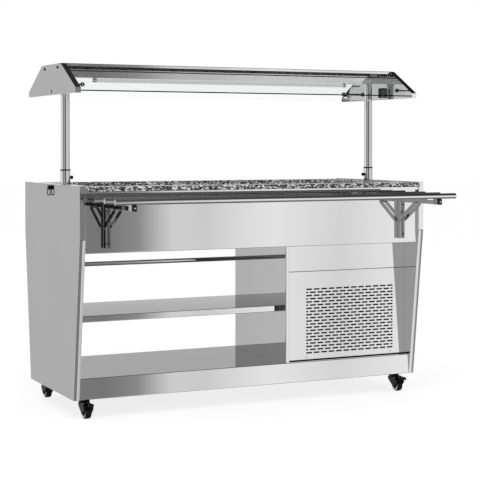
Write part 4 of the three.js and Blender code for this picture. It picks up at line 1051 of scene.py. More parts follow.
@dataclass(frozen=True)
class SlottedGrille:
    """The compressor bay's slotted panel: one closed sheet with staggered rows of slots."""

    sheet: float = 0.0015
    slot_length: float = 0.0285
    slot_height: float = 0.0064
    half_slot: float = 0.0105
    slot_pitch: float = 0.035
    row_pitch: float = 0.013
    rows: int = 21
    columns: int = 12
    field_left: float = 0.0874
    field_foot: float = 0.0265
    full_marks: tuple[float, ...] = (-1, -0.9, -0.8, -0.2, -0.1, 0, 0.1, 0.2, 0.8, 0.9, 1)
    half_marks: tuple[float, ...] = (-1, -0.8, -0.6, 0.6, 0.8, 1)
    straight_marks: float = 0.7
    # The black sheet behind the slots is painted shade for the bay's inside: its margin, corner rounding and depth.
    shade_mat_margin: float = 0.012
    shade_mat_corner: float = 0.004
    shade_mat_depth: tuple[float, float] = (0.003, 0.006)
    screw_left: float = 0.0914
    screw_right: float = 0.4914
    screw_foot: float = 0.0095
    screw_head: tuple[float, float] = (0.0032, 0.0012)

    def cell(self, marks: Sequence[float], width: float, length: float) -> tuple[Array, Array]:
        """Lays out one slot and the field round it.

        Both loops have the same points. The outer one runs round the cell's rectangle through the
        given marks, which the rows above and below share. The inner one runs round the slot, a bar
        with round ends: marks beyond the straight part fall on the end's arc, at 45 degrees by the
        cell's corners.

        Args:
            marks: Places along the cell's long sides, from -1 to 1.
            width: The cell's width.
            length: The slot's length.

        Returns:
            The cell's loop and the slot's loop, in X and Z about their centre.
        """
        marks, r = np.array(marks), self.slot_height / 2
        straight = length / 2 - r
        bound = self.straight_marks
        beyond = np.clip((np.abs(marks) - bound) / (1 - bound), 0, 1) * math.pi / 4
        flat = np.clip(marks / bound, -1, 1) * straight
        slot_top = np.stack([flat + np.sign(marks) * r * np.sin(beyond), r * np.cos(beyond)], axis=1)
        cell_top = np.stack([marks * width / 2, np.full(len(marks), self.row_pitch / 2)], axis=1)
        drop = np.array([0.5, 0.0, -0.5])
        side = np.stack([straight + r * np.cos(drop * math.pi / 2), r * np.sin(drop * math.pi / 2)], axis=1)
        edge = np.stack([np.full(3, width / 2), drop * self.row_pitch / 2], axis=1)
        quarters = (cell_top, edge), (slot_top, side)
        outer, inner = (np.concatenate([top, end, -top, -end]) for top, end in quarters)
        return outer, inner

    def panel(self) -> None:
        """Makes the slotted panel as one closed sheet.

        Every slot's cell is a ring of quads between its rectangle and the slot. Rows are staggered
        by half a pitch and share the marks on their borders. The same loops at the sheet's rear
        make its back, quads join both round each slot, and the panel's edges turn back as a pan.
        """
        space = Space.of("grille_panel")
        (x0, face, z0), (x1, back, z1) = space.low, space.high
        rear, pitch = face + self.sheet, self.slot_pitch
        left, foot = x0 + self.field_left, z0 + self.field_foot - self.row_pitch / 2
        full = self.cell(self.full_marks, pitch, self.slot_length)
        half = self.cell(self.half_marks, pitch / 2, self.half_slot)
        heights = foot + (np.arange(self.rows) + 0.5) * self.row_pitch
        whole = left + (np.arange(self.columns) + 0.5) * pitch
        between = left + np.arange(1, self.columns) * pitch
        ends = left + np.array([0.25, self.columns - 0.25]) * pitch
        form = Form()
        even, odd = heights[::2], heights[1::2]
        for xs, zs, (outer, inner) in ((whole, even, full), (between, odd, full), (ends, odd, half)):
            walls = ((outer, face, inner, face), (outer, rear, inner, rear), (inner, face, inner, rear))
            for spot in np.stack(np.meshgrid(xs, zs), axis=-1).reshape(-1, 2):
                for first, near, second, far in walls:
                    loops = ((spot + first, near), (spot + second, far))
                    form.skin(np.stack([Axis.Y.place(loop[:, 1], loop[:, 0], depth) for loop, depth in loops]))
        steps = (1 + np.array(self.full_marks[:-1])) / 2
        marks = np.append(np.add.outer(np.arange(self.columns), steps), self.columns)
        all_x = np.r_[x0, left + marks * pitch, x1]
        all_z = np.r_[z0, foot + np.arange(4 * self.rows + 1) / 4 * self.row_pitch, z1]

        def lines(inset: float) -> tuple[Array, Array]:
            """Returns the panel's grid lines, held back from its edge."""
            return np.clip(all_x, x0 + inset, x1 - inset), np.clip(all_z, z0 + inset, z1 - inset)

        def border(inset: float, depth: float) -> Array:
            """Walks round the panel's edge on its grid lines.

            Args:
                inset: How far inside the edge.
                depth: Where the loop lies along Y.

            Returns:
                The loop.
            """
            xs, zs = lines(inset)
            walk_x = np.r_[xs[:-1], np.full(len(zs) - 1, xs[-1]), xs[:0:-1], np.full(len(zs) - 1, xs[0])]
            walk_z = np.r_[np.full(len(xs) - 1, zs[0]), zs[:-1], np.full(len(xs) - 1, zs[-1]), zs[:0:-1]]
            return Axis.Y.place(walk_z, walk_x, depth)

        for depth, inset in ((face, 0.0), (rear, self.sheet)):
            xs, zs = lines(inset)
            for part_x, part_z in ((xs[:2], zs), (xs[-2:], zs), (xs[1:-1], zs[:2]), (xs[1:-1], zs[-2:])):
                form.skin(Axis.Y.place(part_z, part_x[:, None], depth), ring_columns=False)
        pan = ((0.0, face), (0.0, back), (self.sheet, back), (self.sheet, rear))
        form.skin(np.stack([border(inset, depth) for inset, depth in pan]))
        form.piece("slotted_grille", BRIGHT, "grille", ["grille_panel"], bend=50)

    def build(self) -> None:
        """Makes the panel, a black sheet behind it that paints the shade inside the bay, and the two screws at its
        foot.
        """
        self.panel()
        (x0, face, z0), (x1, _, z1) = Space.of("grille_panel").low, Space.of("grille_panel").high
        # A black sheet behind the slots paints the shade inside the bay.
        margin = self.shade_mat_margin
        bay_shade_sheet = eased(rectangle(z0 + margin, z1 - margin, x0 + margin, x1 - margin), self.shade_mat_corner, 4)
        near, far = (face + self.sheet + depth for depth in self.shade_mat_depth)
        Form().prism(bay_shade_sheet, Axis.Y, near, far).piece("bay_shade_mat", BLACK_SEAL_AND_SHADE, "grille")
        screws = Form()
        for x in (self.screw_left, self.screw_right):
            screws.lathe(dome(*self.screw_head, -1), Axis.Y, (x0 + x, face, z0 + self.screw_foot), 24)
        screws.piece("grille_screws", CHROME, "grille")


@dataclass(frozen=True)
class CoolingBay:
    """Compressor bay: its plain panel, and the cooling unit behind the grille."""

    pot: Stops = (
        (0.062, 0.018), (0.062, 0.080), (0.065, 0.084), (0.065, 0.090), (0.062, 0.094), (0.062, 0.125),
        (0.056, 0.152),
    )
    pot_foot: float = 0.010
    pot_crown: tuple[float, float] = (0.036, 0.002)
    pot_ease: tuple[float, ...] = (0, 0.003, 0.003, 0.004, *(4 * (0.001,)), 0.012, 0.012, 0.01, 0)
    fins: int = 62
    fin: float = 0.0008
    fin_inset: float = 0.014
    coil_rows: int = 8
    coil_radius: float = 0.0045
    coil_inset: float = 0.004
    coil_margin: float = 0.02
    shaft_drop: float = 0.032
    blades: int = 5
    hub: float = 0.020
    root: float = 0.016
    tip: float = 0.094
    blade_reach: tuple[float, float] = (0.019, 0.035)
    blade_lean: tuple[float, float] = (26.0, 16.0)
    blade_depth: float = 0.5
    blade_half: float = 0.0006
    barrel: Stops = (
        (0.004, -0.050), (0.018, -0.050), (0.031, -0.044), (0.032, -0.040), (0.032, -0.008), (0.026, 0), (0, 0),
    )
    foot_half: float = 0.026
    foot_reach: float = 0.046
    foot_top: float = 0.028
    foot_sheet: float = 0.002

    def upper_panel(self) -> None:
        """Folds the plain upper panel, with a return at the seam and one at the top."""
        (_, y0, z0), (_, y1, z1) = Space.of("bay_upper_panel").low, Space.of("bay_upper_panel").high
        path = [[y1, z1], [y0, z1], [y0, z0], [y1, z0]]
        fold("upper_bay_sheet", BRIGHT, "body", "bay_upper_panel", path, Axis.X)

    def compressor(self) -> None:
        """Turns the compressor's welded pot on its foot ring."""
        space = Space.of("compressor")
        foot, height = space.size[0] / 2, space.size[2]
        crown = (self.pot_crown[0], height - self.pot_crown[1])
        corners = [(0, 0), (foot, 0), (foot, self.pot_foot), *self.pot, crown, (0, height)]
        profile = eased(corners, self.pot_ease, 6, closed=False)
        form = Form().lathe(profile, Axis.Z, space.start(Axis.Z), 64)
        form.piece("compressor_pot", PAINT, "body", ["compressor"])

    def condenser(self) -> None:
        """Sets thin fins side by side, with tubes that pass through them."""
        space = Space.of("condenser")
        (x0, y0, z0), (x1, y1, z1) = space.low, space.high
        form = Form()
        for x in np.linspace(x0 + self.fin_inset, x1 - self.fin_inset - self.fin, self.fins):
            form.prism(rectangle(y0, y1, z0, z1), Axis.X, x, x + self.fin)
        tube = capped_rod(self.coil_radius, x1 - x0 - 2 * self.coil_inset)
        for z in np.linspace(z0 + self.coil_margin, z1 - self.coil_margin, self.coil_rows):
            for y in (y0 + self.fin_inset, y1 - self.fin_inset):
                form.lathe(tube, Axis.X, (x0 + self.coil_inset, y, z), 12)
        form.piece("condenser_coil", ALLOY, "body", ["condenser"])

    def fan(self) -> None:
        """Makes five blades round a hub. A blade's point at radius r and chord u lies at the angle
        u c / r and leans by 26 degrees at the root, 16 at the tip."""
        space, motor = Space.of("condenser_fan"), Space.of("fan_motor")
        x, y, z = motor.middle[0], space.middle[1], motor.high[2] - self.shaft_drop
        form = Form().lathe(capped_rod(self.hub, space.size[1], 0.002), Axis.Y, (x, space.low[1], z), 40)
        spans = ((self.root, self.tip), self.blade_reach, np.radians(self.blade_lean))
        radius, reach, lean = (np.linspace(*span, 12)[:, None] for span in spans)
        chord = np.linspace(-1, 1, 9)
        depth = chord * reach * np.sin(lean) * self.blade_depth
        for blade in range(self.blades):
            turn = blade * 2 * math.pi / self.blades + chord * reach * np.cos(lean) / radius.clip(0.03)
            front, back = (
                Axis.Z.place(x + radius * np.cos(turn), y + depth + side, z + radius * np.sin(turn))
                for side in (-self.blade_half, self.blade_half)
            )
            form.skin(np.concatenate([front, back[:, ::-1]], axis=1), ends=True)
        form.piece("fan_blades", ALLOY, "fan", ["condenser_fan"])

    def motor(self) -> None:
        """Turns the fan motor's stepped barrel and shaft, and stands it on a bent foot."""
        space = Space.of("fan_motor")
        x, z, near, rear = space.middle[0], space.high[2] - self.shaft_drop, space.low[1], space.high[1]
        barrel = np.concatenate([[(0, near - rear), (0.004, near - rear)], self.barrel])
        form = Form().lathe(eased(barrel, 0.001, closed=False), Axis.Y, (x, rear, z))
        low, front = space.low[2], rear - self.foot_reach
        foot = eased([(rear, low), (front, low), (front, z - self.foot_top)], 0.003, 6, closed=False)
        form.folded(foot, -self.foot_sheet, Axis.X, x - self.foot_half, x + self.foot_half)
        form.piece("fan_motor_barrel", PAINT, "body", ["fan_motor"])

    def build(self) -> None:
        """Makes the bay."""
        self.upper_panel()
        SlottedGrille().build()
        self.compressor()
        self.condenser()
        self.fan()
        self.motor()
        SATIN.dress(frame["nodes"]["bay_back_panel"])


@dataclass(frozen=True)
class Caster:
    """One swivel caster with a hooded fork and a brake pedal.

    Lengths are in millimetres and arcs in degrees. Roundings, heads and pins are in metres.
    """

    row: str
    side: str
    swivel: tuple[float, float] = (688.5, 220.0)
    trail: float = 26.0
    axle: float = 25.0
    hood: float = 31.0
    cheek: tuple[float, float] = (15.5, 19.0)
    eye: float = 8.5
    neck: tuple[tuple[float, ...], ...] = ((-11, -18.5, -17), (61, 56, 47))
    arc_steps: int = 22
    tyre: Stops = (
        (0, 11.2), (5.5, 11.2), (6.5, 9.0), (15.8, 8.6), (16.4, 10.6), (20.6, 10.8), (21.6, 12.2),
        (23.6, 11.4), (24.8, 7.5), (25, 1.0),
    )
    ring: tuple[float, ...] = (15.8, 20.8, 10.2, 12.3)
    tyre_ease: float = 0.0004
    head_ease: float = 0.0006
    wheel_sides: int = 56
    axle_head: tuple[float, float] = (0.0048, 0.0019)
    hood_arc: tuple[float, float] = (32.0, 166.0)
    cheek_arc: tuple[float, float] = (32.0, 100.0)
    eye_arc: tuple[float, float] = (205.0, 335.0)
    pin: tuple[float, float] = (0.0024, 0.020)
    pin_at: tuple[float, float, float] = (-10.0, 34.0, 62.0)
    head: Stops = (
        (0, 55), (19, 55), (21, 57.5), (21, 64.5), (19.2, 66), (19.2, 67.4), (21, 68.4), (21, 73),
        (19.5, 75.7), (5, 75.7), (5, 79.6), (0, 80),
    )
    band: tuple[float, ...] = (-18.6, 18.6, 28.2, 30.9)
    lever: tuple[tuple[float, ...], ...] = (
        (30, 33, 38, 46, 56, 66, 69, 70.5, 76, 82, 83.6),
        (3.2, 4.6, 4.8, 5.0, 5.2, 5.6, 8.6, 9.6, 9.8, 9.6, 8.4),
        (62, 62.3, 63, 63.4, 62.8, 61.0, 60.2, 59.8, 58.6, 57.4, 57.0),
        (2.0, 3.6, 3.8, 3.0, 2.6, 2.6, 3.6, 4.6, 4.6, 4.4, 3.4),
    )

    @property
    def name(self) -> str:
        """Returns the row and side, as in the CAD nodes' names."""
        return f"{self.row}_{self.side}"

    @property
    def foot(self) -> Array:
        """Returns the point on the floor under the swivel."""
        x, y = np.array(self.swivel) / 1000
        return middle() + (WAY[self.side] * x, WAY[self.row] * y, 0)

    def at(self, across: Array | float, behind: Array | float, height: Array | float) -> Array:
        """Returns places given in millimetres across, behind and above the swivel's foot."""
        x, y, z = self.foot
        return Axis.Z.place(x + across / 1000, y + WAY[self.row] * behind / 1000, z + height / 1000)

    def wheel(self) -> None:
        """Turns the wheel: boss, dished disc, shoulder and crowned tread, with a bright ring on each side."""
        hub = self.at(0.0, self.trail, self.axle)
        half = np.array(self.tyre)
        reach = np.r_[0, np.full(2 * len(half) - 2, self.tyre_ease), 0]
        profile = eased(np.concatenate([half * (1, -1), half[::-1]]) / 1000, reach, 4, closed=False)
        body = f"wheel_{self.name}"
        form = Form().lathe(profile, Axis.X, hub, self.wheel_sides)
        form.piece(body, RUBBER, body, [f"caster_wheel_{self.name}"])
        rings = Form()
        for sign in (-1.0, 1.0):
            wall = eased(rectangle(*self.ring) / 1000 * (1, sign), 0.0007, 4)
            rings.lathe(wall, Axis.X, hub, self.wheel_sides, pipe=True)
        rings.piece(f"wheel_rings_{self.name}", RING, body)

    def fork(self) -> None:
        """Makes the fork: bearing head, hood, two cheeks and the axle's heads."""
        ease = np.r_[0, np.full(len(self.head) - 2, self.head_ease), 0]
        head = eased(np.array(self.head) / 1000, ease, 4, closed=False)
        form = Form().lathe(head, Axis.Z, self.foot)
        over = np.radians(np.linspace(*self.cheek_arc, self.arc_steps))
        under = np.radians(np.linspace(*self.eye_arc, 12))
        neck_behind, neck_height = self.neck
        behind = np.r_[self.trail + self.hood * np.cos(over), neck_behind, self.trail + self.eye * np.cos(under)]
        height = np.r_[self.axle + self.hood * np.sin(over), neck_height, self.axle + self.eye * np.sin(under)]
        outline = self.at(0.0, behind, height)[:, 1:]
        for sign in (-1.0, 1.0):
            near, far = (self.foot[0] + sign * side / 1000 for side in self.cheek)
            form.prism(outline, Axis.X, near, far)
            spot = self.at(sign * self.cheek[1], self.trail, self.axle)
            form.lathe(dome(*self.axle_head, sign), Axis.X, spot, 24)
        sweep = np.radians(np.linspace(*self.hood_arc, 2 * self.arc_steps))[:, None]
        across, radius = eased(rectangle(*self.band), 0.8, 3).T
        grid = self.at(across, self.trail + radius * np.cos(sweep), self.axle + radius * np.sin(sweep))
        form.skin(grid, ends=True)
        body = f"fork_{self.name}"
        form.piece(body, PLASTIC, body, [f"caster_fork_{self.name}"], bevel=0.0006)

    def pedal(self) -> None:
        """Makes the brake pedal: a curved lever that widens to a pad.

        Rows are rounded rectangles along the lever; half width, height and thickness change with
        the distance behind the pin.
        """
        station, half, centre, thick = np.array(self.lever)[..., None]
        across, up = eased(rectangle(-1, 1, -1, 1), 0.35, 4).T
        form = Form().skin(self.at(half * across, station, centre + thick * up), ends=True)
        form.lathe(capped_rod(*self.pin), Axis.X, self.at(*self.pin_at), 20)
        form.piece(f"brake_pedal_{self.name}", PLASTIC, f"pedal_{self.name}", [f"caster_pedal_{self.name}"])

    def build(self) -> None:
        """Makes the caster."""
        self.wheel()
        self.fork()
        self.pedal()


@dataclass(frozen=True)
class Post:
    """One of the canopy's posts, the socket that holds it and its clamp screw."""

    side: str
    sides: int = 64
    bore: float = 0.018
    wall: float = 0.0196
    ring_height: float = 0.005
    ring_ease: float = 0.0012
    lobes: int = 8
    swell: float = 0.06
    grip_points: int = 96
    shank: float = 0.003
    knob: Stops = (
        (0.82, 0.0034), (0.92, 0.0052), (0.94, 0.0102), (0.86, 0.0127), (0.6, 0.0136), (0, 0.0130),
    )
    knob_ease: float = 0.0005
    grip_from: tuple[float, float] = (0.7, 0.9)

    def socket(self) -> None:
        """Turns the socket's bright sleeve and the black ring at its mouth."""
        node = f"post_socket_{self.side}"
        space = Space.of(node)
        top = space.high[2]
        foot = top - self.ring_height
        sleeve = pipe_wall(self.bore, self.wall, space.low[2], foot)
        ring = pipe_wall(self.bore, space.size[0] / 2, foot, top, self.ring_ease)
        for name, wall, finish, nodes in (("sleeve", sleeve, CHROME_UPRIGHT, [node]), ("ring", ring, PLASTIC, [])):
            form = Form().lathe(wall, Axis.Z, space.middle * (1, 1, 0), self.sides, pipe=True)
            form.piece(f"socket_{name}_{self.side}", finish, "body", nodes)

    def screw(self) -> None:
        """Makes the clamp screw: a shank, and a head whose grip swells in lobes, r (1 + 0.06 cos 8a)."""
        node, way = f"clamp_screw_{self.side}", WAY[self.side]
        space = Space.of(node)
        tip, centre, radius = space.end(0, way), space.middle[1:], space.size[1] / 2
        profile = [(0, 0), (self.shank, 0), (self.shank, 0.003)] + [(share * radius, z) for share, z in self.knob]
        line = eased(profile, self.knob_ease, closed=False)
        grid = turned(line * (1, -way), Axis.X, (tip, *centre), self.grip_points)
        angle = np.arange(self.grip_points) * 2 * math.pi / self.grip_points
        grip = np.interp(line[:, :1] / radius, self.grip_from, (0, 1))
        swell = 1 + self.swell * grip * np.cos(self.lobes * angle)
        grid[..., 1:] = centre + (grid[..., 1:] - centre) * swell[..., None]
        Form().skin(grid).piece(f"clamp_knob_{self.side}", PLASTIC, f"screw_{self.side}", [node])

    def build(self) -> None:
        """Makes the post, its socket and its screw."""
        rod(f"post_tube_{self.side}", CHROME_UPRIGHT, "canopy", f"post_{self.side}", Axis.Z, sides=self.sides)
        self.socket()
        self.screw()


@dataclass(frozen=True)
class Canopy:
    """End plates, roof, lamp beam, lamp, glass, knobs and switch."""

    top_half: float = 0.120
    lip: float = 0.0105
    sheet: float = 0.0015
    # The black seal under each lip, which also paints the shade of the gap between lip and glass.
    seal: Stops = ((0.0006, -0.0030), (0.0004, -0.0002), (-0.003, -0.0002), (-0.001, -0.0030))
    groove: tuple[float, float] = (1.3243, 1.3287)
    roof_bend: float = 0.0025
    # The dark strips in the beam grooves paint the grooves' shade: their depth and proudness, then their gap from
    # the beam's ends.
    strip_depth: tuple[float, float] = (0.0019, 0.0001)
    groove_shade_gap: float = 0.0005
    slot_y: float = 0.082
    slot_z: float = 1.337
    # Plug and liner: start and end along Y from the slot's centre, radius and proudness. The black plug paints the
    # shade inside the slot, and the bright liner paints a highlight on its edge.
    slot_shade_plug: tuple[float, ...] = (-0.008, 0.004, 0.0052, 0.0006)
    slot_highlight_liner: tuple[float, ...] = (0.007, 0.012, 0.0050, 0.0003)
    plug_depth: float = 0.003
    bolt_z: float = 1.247
    washer: tuple[float, float] = (0.0068, 0.0006)
    washer_off: tuple[float, float] = (-0.0055, -0.0010)
    bolt_head: tuple[float, float] = (0.0052, 0.0012)
    pane_top: tuple[float, float] = (0.110, 1.3384)
    pane_foot: tuple[float, float] = (0.290, 1.239)
    pane_brow: tuple[float, float] = (0.1204, 1.3384)
    pane: float = 0.005
    pane_ease: float = 0.0007
    lamp_cap: float = 0.015
    lamp_share: float = 0.96
    stud: float = 0.003
    stud_overlap: float = 0.002
    grip_ease: float = 0.0018
    grip_half: float = 0.0042
    grip_bore: float = 0.0026
    case_share: tuple[float, ...] = (0.80, 0.80, 0.75, 0.70)
    case_depth: tuple[float, float] = (0.009, 0.0012)
    rocker_set: tuple[float, float] = (0.0006, 0.0018)

    def roof(self) -> None:
        """Folds the roof: a flat top whose long edges turn down as upright lips."""
        space = Space.of("canopy_roof")
        y0, y1 = space.middle[1] - self.top_half, space.middle[1] + self.top_half
        top, foot = space.high[2], space.high[2] - self.lip
        path = [[y0, foot], [y0, top], [y1, top], [y1, foot]]
        fold("roof_sheet", SATIN, "canopy", "canopy_roof", path, Axis.X, self.roof_bend, -self.sheet)

    def seals_and_shade_strips(self) -> None:
        """Lays black seal strips between the lips and the glass, which also paint the shade of the gap there, and a
        dark strip into each beam groove that paints the groove's shade.
        """
        roof, beam = Space.of("canopy_roof"), Space.of("lamp_beam")
        seals_and_shade_strips, groove_shades = Form(), Form()
        for sign in (-1.0, 1.0):
            lip = (np.array(self.seal) + (self.top_half, 0)) * (sign, 1)
            lip = eased(lip + (roof.middle[1], roof.high[2] - self.lip), 0.0006, 3)
            seals_and_shade_strips.prism(lip, Axis.X, roof.low[0], roof.high[0])
            face = beam.end(1, sign)
            deep, proud = self.strip_depth
            wall = eased(rectangle(face - sign * deep, face + sign * proud, *self.groove), 0.0003, 3)
            groove_shades.prism(wall, Axis.X, beam.low[0] + self.groove_shade_gap, beam.high[0] - self.groove_shade_gap)
        seals_and_shade_strips.piece("glass_seals_and_gap_shade", BLACK_SEAL_AND_SHADE, "canopy")
        groove_shades.piece("beam_groove_shade", GROOVE_SHADE_FINISH, "canopy")

    def end_fittings(self, side: str) -> None:
        """Sets black plugs into the slots, which paint the shade inside them, bright liners at one end of each,
        which paint the lit edge as a highlight, and a washered bolt into an end plate.

        Args:
            side: "left" or "right".
        """
        space, out = Space.of(f"canopy_end_{side}"), WAY[side]
        face, y = space.end(0, out) - out * self.sheet, space.middle[1]
        dark, bright = Form(), Form()
        for sign in (-1.0, 1.0):
            spot = np.array([y + sign * self.slot_y, self.slot_z])
            for form, (near, far, radius, proud) in ((dark, self.slot_shade_plug), (bright, self.slot_highlight_liner)):
                outline = stadium(spot + (near, 0), spot + (far, 0), radius)
                form.prism(outline, Axis.X, face - out * self.plug_depth, face + out * proud)
        bolt = np.array([face, y, self.bolt_z])
        radius, thickness = self.washer
        washer = capped_rod(radius, thickness, 0.0002, 3) * (1, out)
        dark.lathe(washer, Axis.X, bolt + (0, *self.washer_off), 32)
        bright.lathe(dome(*self.bolt_head, out), Axis.X, bolt + (out * thickness, 0, 0), 32)
        dark.piece(f"slot_shade_plugs_{side}", BLACK_SEAL_AND_SHADE, "canopy")
        bright.piece(f"end_bolts_and_slot_highlights_{side}", RING, "canopy")

    def panes(self) -> None:
        """Makes both panes as slabs with ground edges, their top edges cut level."""
        y = Space.of("canopy_roof").middle[1]
        for row in ROWS:
            space = Space.of(f"glass_{row}")
            corners = self.pane_top, self.pane_foot, self.pane_brow
            top, foot, brow = (np.array(point) * (WAY[row], 1) + (y, 0) for point in corners)
            along = (foot - top) / np.linalg.norm(foot - top)
            up = np.array([-along[1], along[0]]) * WAY[row] * self.pane
            section = eased(np.stack([top, foot, foot + up, brow]), self.pane_ease, 4)
            form = Form().prism(section, Axis.X, space.low[0], space.high[0])
            form.piece(f"glass_pane_{row}", GLASS, "canopy", [f"glass_{row}"], bend=12)

    def lamp(self) -> None:
        """Turns the lamp's cover between two caps."""
        space = Space.of("lamp_tube")
        start, radius, cap = space.start(Axis.X), space.size[1] / 2, self.lamp_cap
        cover = capped_rod(radius * self.lamp_share, space.size[0] - 2 * cap)
        form = Form().lathe(cover, Axis.X, start + (cap, 0, 0), 40)
        form.piece("lamp_cover", LAMP, "canopy", ["lamp_tube"])
        caps = Form()
        for along in (0, space.size[0] - cap):
            caps.lathe(capped_rod(radius, cap), Axis.X, start + (along, 0, 0), 40)
        caps.piece("lamp_caps", RING, "canopy")

    def knob(self, row: str, side: str) -> None:
        """Turns a glass knob: a stud along X, and an eyed grip turned about an axis along Y.

        Args:
            row: "front" or "rear".
            side: "left" or "right".
        """
        node = f"glass_knob_{row}_{side}"
        space, way = Space.of(node), WAY[side]
        reach, radius = space.size[0], space.size[1] / 2
        root = np.array([space.end(0, way), *space.middle[1:]])
        stud = capped_rod(self.stud, reach - 2 * radius + self.stud_overlap) * (1, -way)
        wall = eased(rectangle(self.grip_bore, radius, -self.grip_half, self.grip_half), self.grip_ease)
        form = Form().lathe(stud, Axis.X, root, 20)
        form.lathe(wall, Axis.Y, root - (way * (reach - radius), 0, 0), 40, pipe=True)
        form.piece(f"glass_grip_{row}_{side}", PLASTIC, "canopy", [node])

    def switch(self) -> None:
        """Makes the switch box, tapered towards its face, and the rocker with its two flats."""
        space = Space.of("lamp_switch_box")
        (face, _, _), (back, _, _) = space.low, space.high
        straight, rim = self.case_depth
        depth = np.array([back, back - straight, face + rim, face])[:, None]
        share = np.array(self.case_share)[:, None]
        across, up = eased(rectangle(-1, 1, -1, 1), 0.16).T * space.size[1:, None] / 2
        grid = Axis.X.place(space.middle[1] + share * across, space.middle[2] + share * up, depth)
        Form().skin(grid, ends=True).piece("switch_case", CASE, "canopy", ["lamp_switch_box"], bend=40)
        rocker = Space.of("lamp_rocker")
        (x0, y0, z0), (x1, y1, z1) = rocker.low, rocker.high
        foot, waist = self.rocker_set
        flats = [(z0, x1), (z0, x0 + foot), (rocker.middle[2], x0 + waist), (z1, x0), (z1, x1)]
        form = Form().prism(eased(flats, 0.0006, 4), Axis.Y, y0, y1)
        form.piece("switch_rocker", PLASTIC, "rocker", ["lamp_rocker"], bevel=0.0004)

    def build(self) -> None:
        """Makes the canopy."""
        nodes = frame["nodes"]
        for side in SIDES:
            SIDE_STEEL.dress(nodes[f"canopy_end_{side}"])
            self.end_fittings(side)
        BEAM_STEEL.dress(nodes["lamp_beam"])
        self.roof()
        self.seals_and_shade_strips()
        self.panes()
        self.lamp()
        for row in ROWS:
            for side in SIDES:
                self.knob(row, side)
        self.switch()


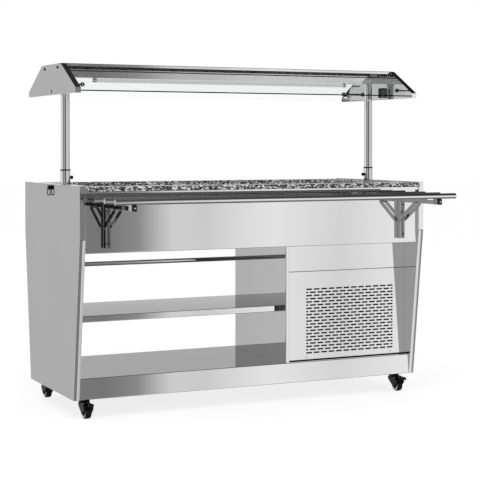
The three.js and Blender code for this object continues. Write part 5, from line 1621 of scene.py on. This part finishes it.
@dataclass(frozen=True)
class Bracket:
    """One of the tray slide's folding brackets: wall channel, arm and brace."""

    side: str
    hinge_y: float = -0.352
    pivot_z: float = 0.7275
    reach_y: float = -0.468
    pin_z: float = 0.7987
    channel_sheet: float = 0.0018
    channel_bend: float = 0.0022
    strip_margin: tuple[float, float] = (0.001, 0.0024)
    strip_depth: tuple[float, float] = (-0.0008, 0.0002)
    screw_head: tuple[float, float] = (0.0040, 0.0018)
    screws: tuple[float, ...] = (0.790, 0.748, 0.668)
    bar: tuple[float, float, float] = (0.802, 0.818, 0.0075)
    cap: tuple[float, float, float] = (0.801, 0.8237, 0.0085)
    collar: tuple[float, float, float] = (0.801, 0.826, 0.0085)
    tubes_y: tuple[float, ...] = (-0.413, -0.523)
    tube_z: float = 0.835
    tube_radius: float = 0.0113
    cradle: tuple[float, float, float] = (0.0095, 0.8172, 0.0072)
    collar_from: tuple[float, float] = (0.0095, 0.0400)
    cap_length: float = 0.009
    rivet: tuple[float, float] = (0.0042, 0.0014)
    rivet_z: float = 0.8125
    brace_half: float = 0.0078
    brace_x: tuple[float, float] = (0.011, 0.014)
    pin: float = 0.003
    pin_head: tuple[float, float] = (0.0042, 0.0012)
    pin_head_x: float = 0.0138
    short_pin: tuple[float, float] = (0.0084, 0.0032)
    long_pin: float = 0.0286

    def channel(self) -> None:
        """Folds the wall channel, and lays a rough strip and black screws into it."""
        node = f"bracket_channel_{self.side}"
        space = Space.of(node)
        (x0, front, z0), (x1, back, z1) = space.low, space.high
        path = [[x0, front], [x0, back], [x1, back], [x1, front]]
        name, bend, sheet = f"wall_channel_{self.side}", self.channel_bend, self.channel_sheet
        fold(name, BRACKET_STEEL, "body", node, path, Axis.Z, bend, -sheet, 6)
        web, (end, edge) = back - sheet, self.strip_margin
        strip = eased(rectangle(z0 + end, z1 - end, x0 + edge, x1 - edge), 0.001, 4)
        form = Form().prism(strip, Axis.Y, *(web + depth for depth in self.strip_depth))
        form.piece(f"channel_strip_{self.side}", CHANNEL_STEEL, "body")
        heads = Form()
        for z in self.screws:
            heads.lathe(dome(*self.screw_head, -1), Axis.Y, (space.middle[0], web - 0.0007, z), 24)
        heads.piece(f"channel_screws_{self.side}", PLASTIC, "body")

    def block(self, section: tuple[float, float, float], ease: float, steps: int, near: float, far: float) -> Form:
        """Makes a rounded block along the arm.

        Args:
            section: Its foot, its top and half its width.
            ease: Rounding of its long edges.
            steps: Points on each rounding.
            near: Distance from the arm's tip to where it begins.
            far: Distance from the arm's tip to where it ends.

        Returns:
            The block.
        """
        space = Space.of(f"bracket_arm_{self.side}")
        (low, high, half), x, tip = section, space.middle[0], space.low[1]
        outline = eased(rectangle(low, high, x - half, x + half), ease, steps)
        return Form().prism(outline, Axis.Y, tip + near, tip + far)

    def arm(self) -> None:
        """Makes the arm: a bar, cradles for two tubes, a bright collar, and a black cap with a rivet."""
        node = f"bracket_arm_{self.side}"
        space, side = Space.of(node), self.side
        x, tip = space.middle[0], space.low[1]
        bar = self.block(self.bar, 0.0012, 4, 0.008, space.size[1])
        bar.piece(f"folding_arm_{side}", BRACKET_STEEL, "tray", [node], bevel=0.0005)
        angle = np.radians(np.linspace(44, -44, 11))
        bed = np.stack([np.sin(angle), -np.cos(angle)], axis=1) * self.tube_radius + (0, self.tube_z)
        foot, foot_z, half = self.cradle
        outline = np.concatenate([[[-foot, foot_z], [foot, foot_z]], bed])
        cradles = Form()
        for y in self.tubes_y:
            cradles.prism(outline + (middle()[1] + y, 0), Axis.X, x - half, x + half)
        cradles.piece(f"tube_cradles_{side}", CRADLE_STEEL, "tray", bevel=0.0005)
        collar = self.block(self.collar, 0.003, 6, *self.collar_from)
        collar.piece(f"arm_collar_{side}", COLLAR_STEEL, "tray", bevel=0.0008)
        cap = self.block(self.cap, 0.0028, 6, 0.0, self.cap_length)
        cap.piece(f"arm_cap_{side}", PLASTIC, "tray", bevel=0.0012)
        rivet = Form().lathe(dome(*self.rivet, -1), Axis.Y, (x, tip + 0.0003, self.rivet_z), 24)
        rivet.piece(f"cap_rivets_{side}", RING, "tray")

    def brace(self) -> None:
        """Makes the brace: two bars with round ends, and the pins they turn on."""
        node = f"bracket_brace_{self.side}"
        x, y = Space.of(node).middle[0], middle()[1]
        low, high = np.array([y + self.hinge_y, self.pivot_z]), np.array([y + self.reach_y, self.pin_z])
        outline = stadium(low, high, self.brace_half, 13)
        form = Form()
        for sign in (-1.0, 1.0):
            near, far = (x + sign * side for side in self.brace_x)
            form.prism(outline, Axis.X, near, far)
            form.lathe(dome(*self.pin_head, sign), Axis.X, (x + sign * self.pin_head_x, *low), 24)
            start, length = self.short_pin
            form.lathe(capped_rod(self.pin, length) * (1, sign), Axis.X, (x + sign * start, *low), 20)
        form.lathe(capped_rod(self.pin, self.long_pin), Axis.X, (x - self.long_pin / 2, *high), 24)
        form.piece(f"brace_bars_{self.side}", BRACKET_STEEL, f"brace_{self.side}", [node], bevel=0.0005)

    def build(self) -> None:
        """Makes the bracket."""
        self.channel()
        self.arm()
        self.brace()


@dataclass(frozen=True)
class TraySlide:
    """Three tubes on two folding brackets."""

    tubes: tuple[str, ...] = ("front", "middle", "rear")
    tube_ease: float = 0.002

    def build(self) -> None:
        """Makes the tubes, with softly rounded ends, and both brackets."""
        for name in self.tubes:
            rod(f"slide_tube_{name}", CHROME, "tray", f"tray_tube_{name}", Axis.X, self.tube_ease)
        for side in SIDES:
            Bracket(side).build()


def main() -> None:
    """Builds the studio and the bar, in order."""
    logging.basicConfig(level=logging.INFO, format="%(message)s")
    casters = [Caster(row, side) for row in ROWS for side in SIDES]
    posts = [Post(side) for side in SIDES]
    lower = (SideWalls(), WellBody(), OpenBay(), CoolingBay(), *casters)
    for part in (Studio(), *lower, *posts, Canopy(), TraySlide()):
        part.build()
        LOG.info("%s done", type(part).__name__)


if __name__ == "__main__":
    main()
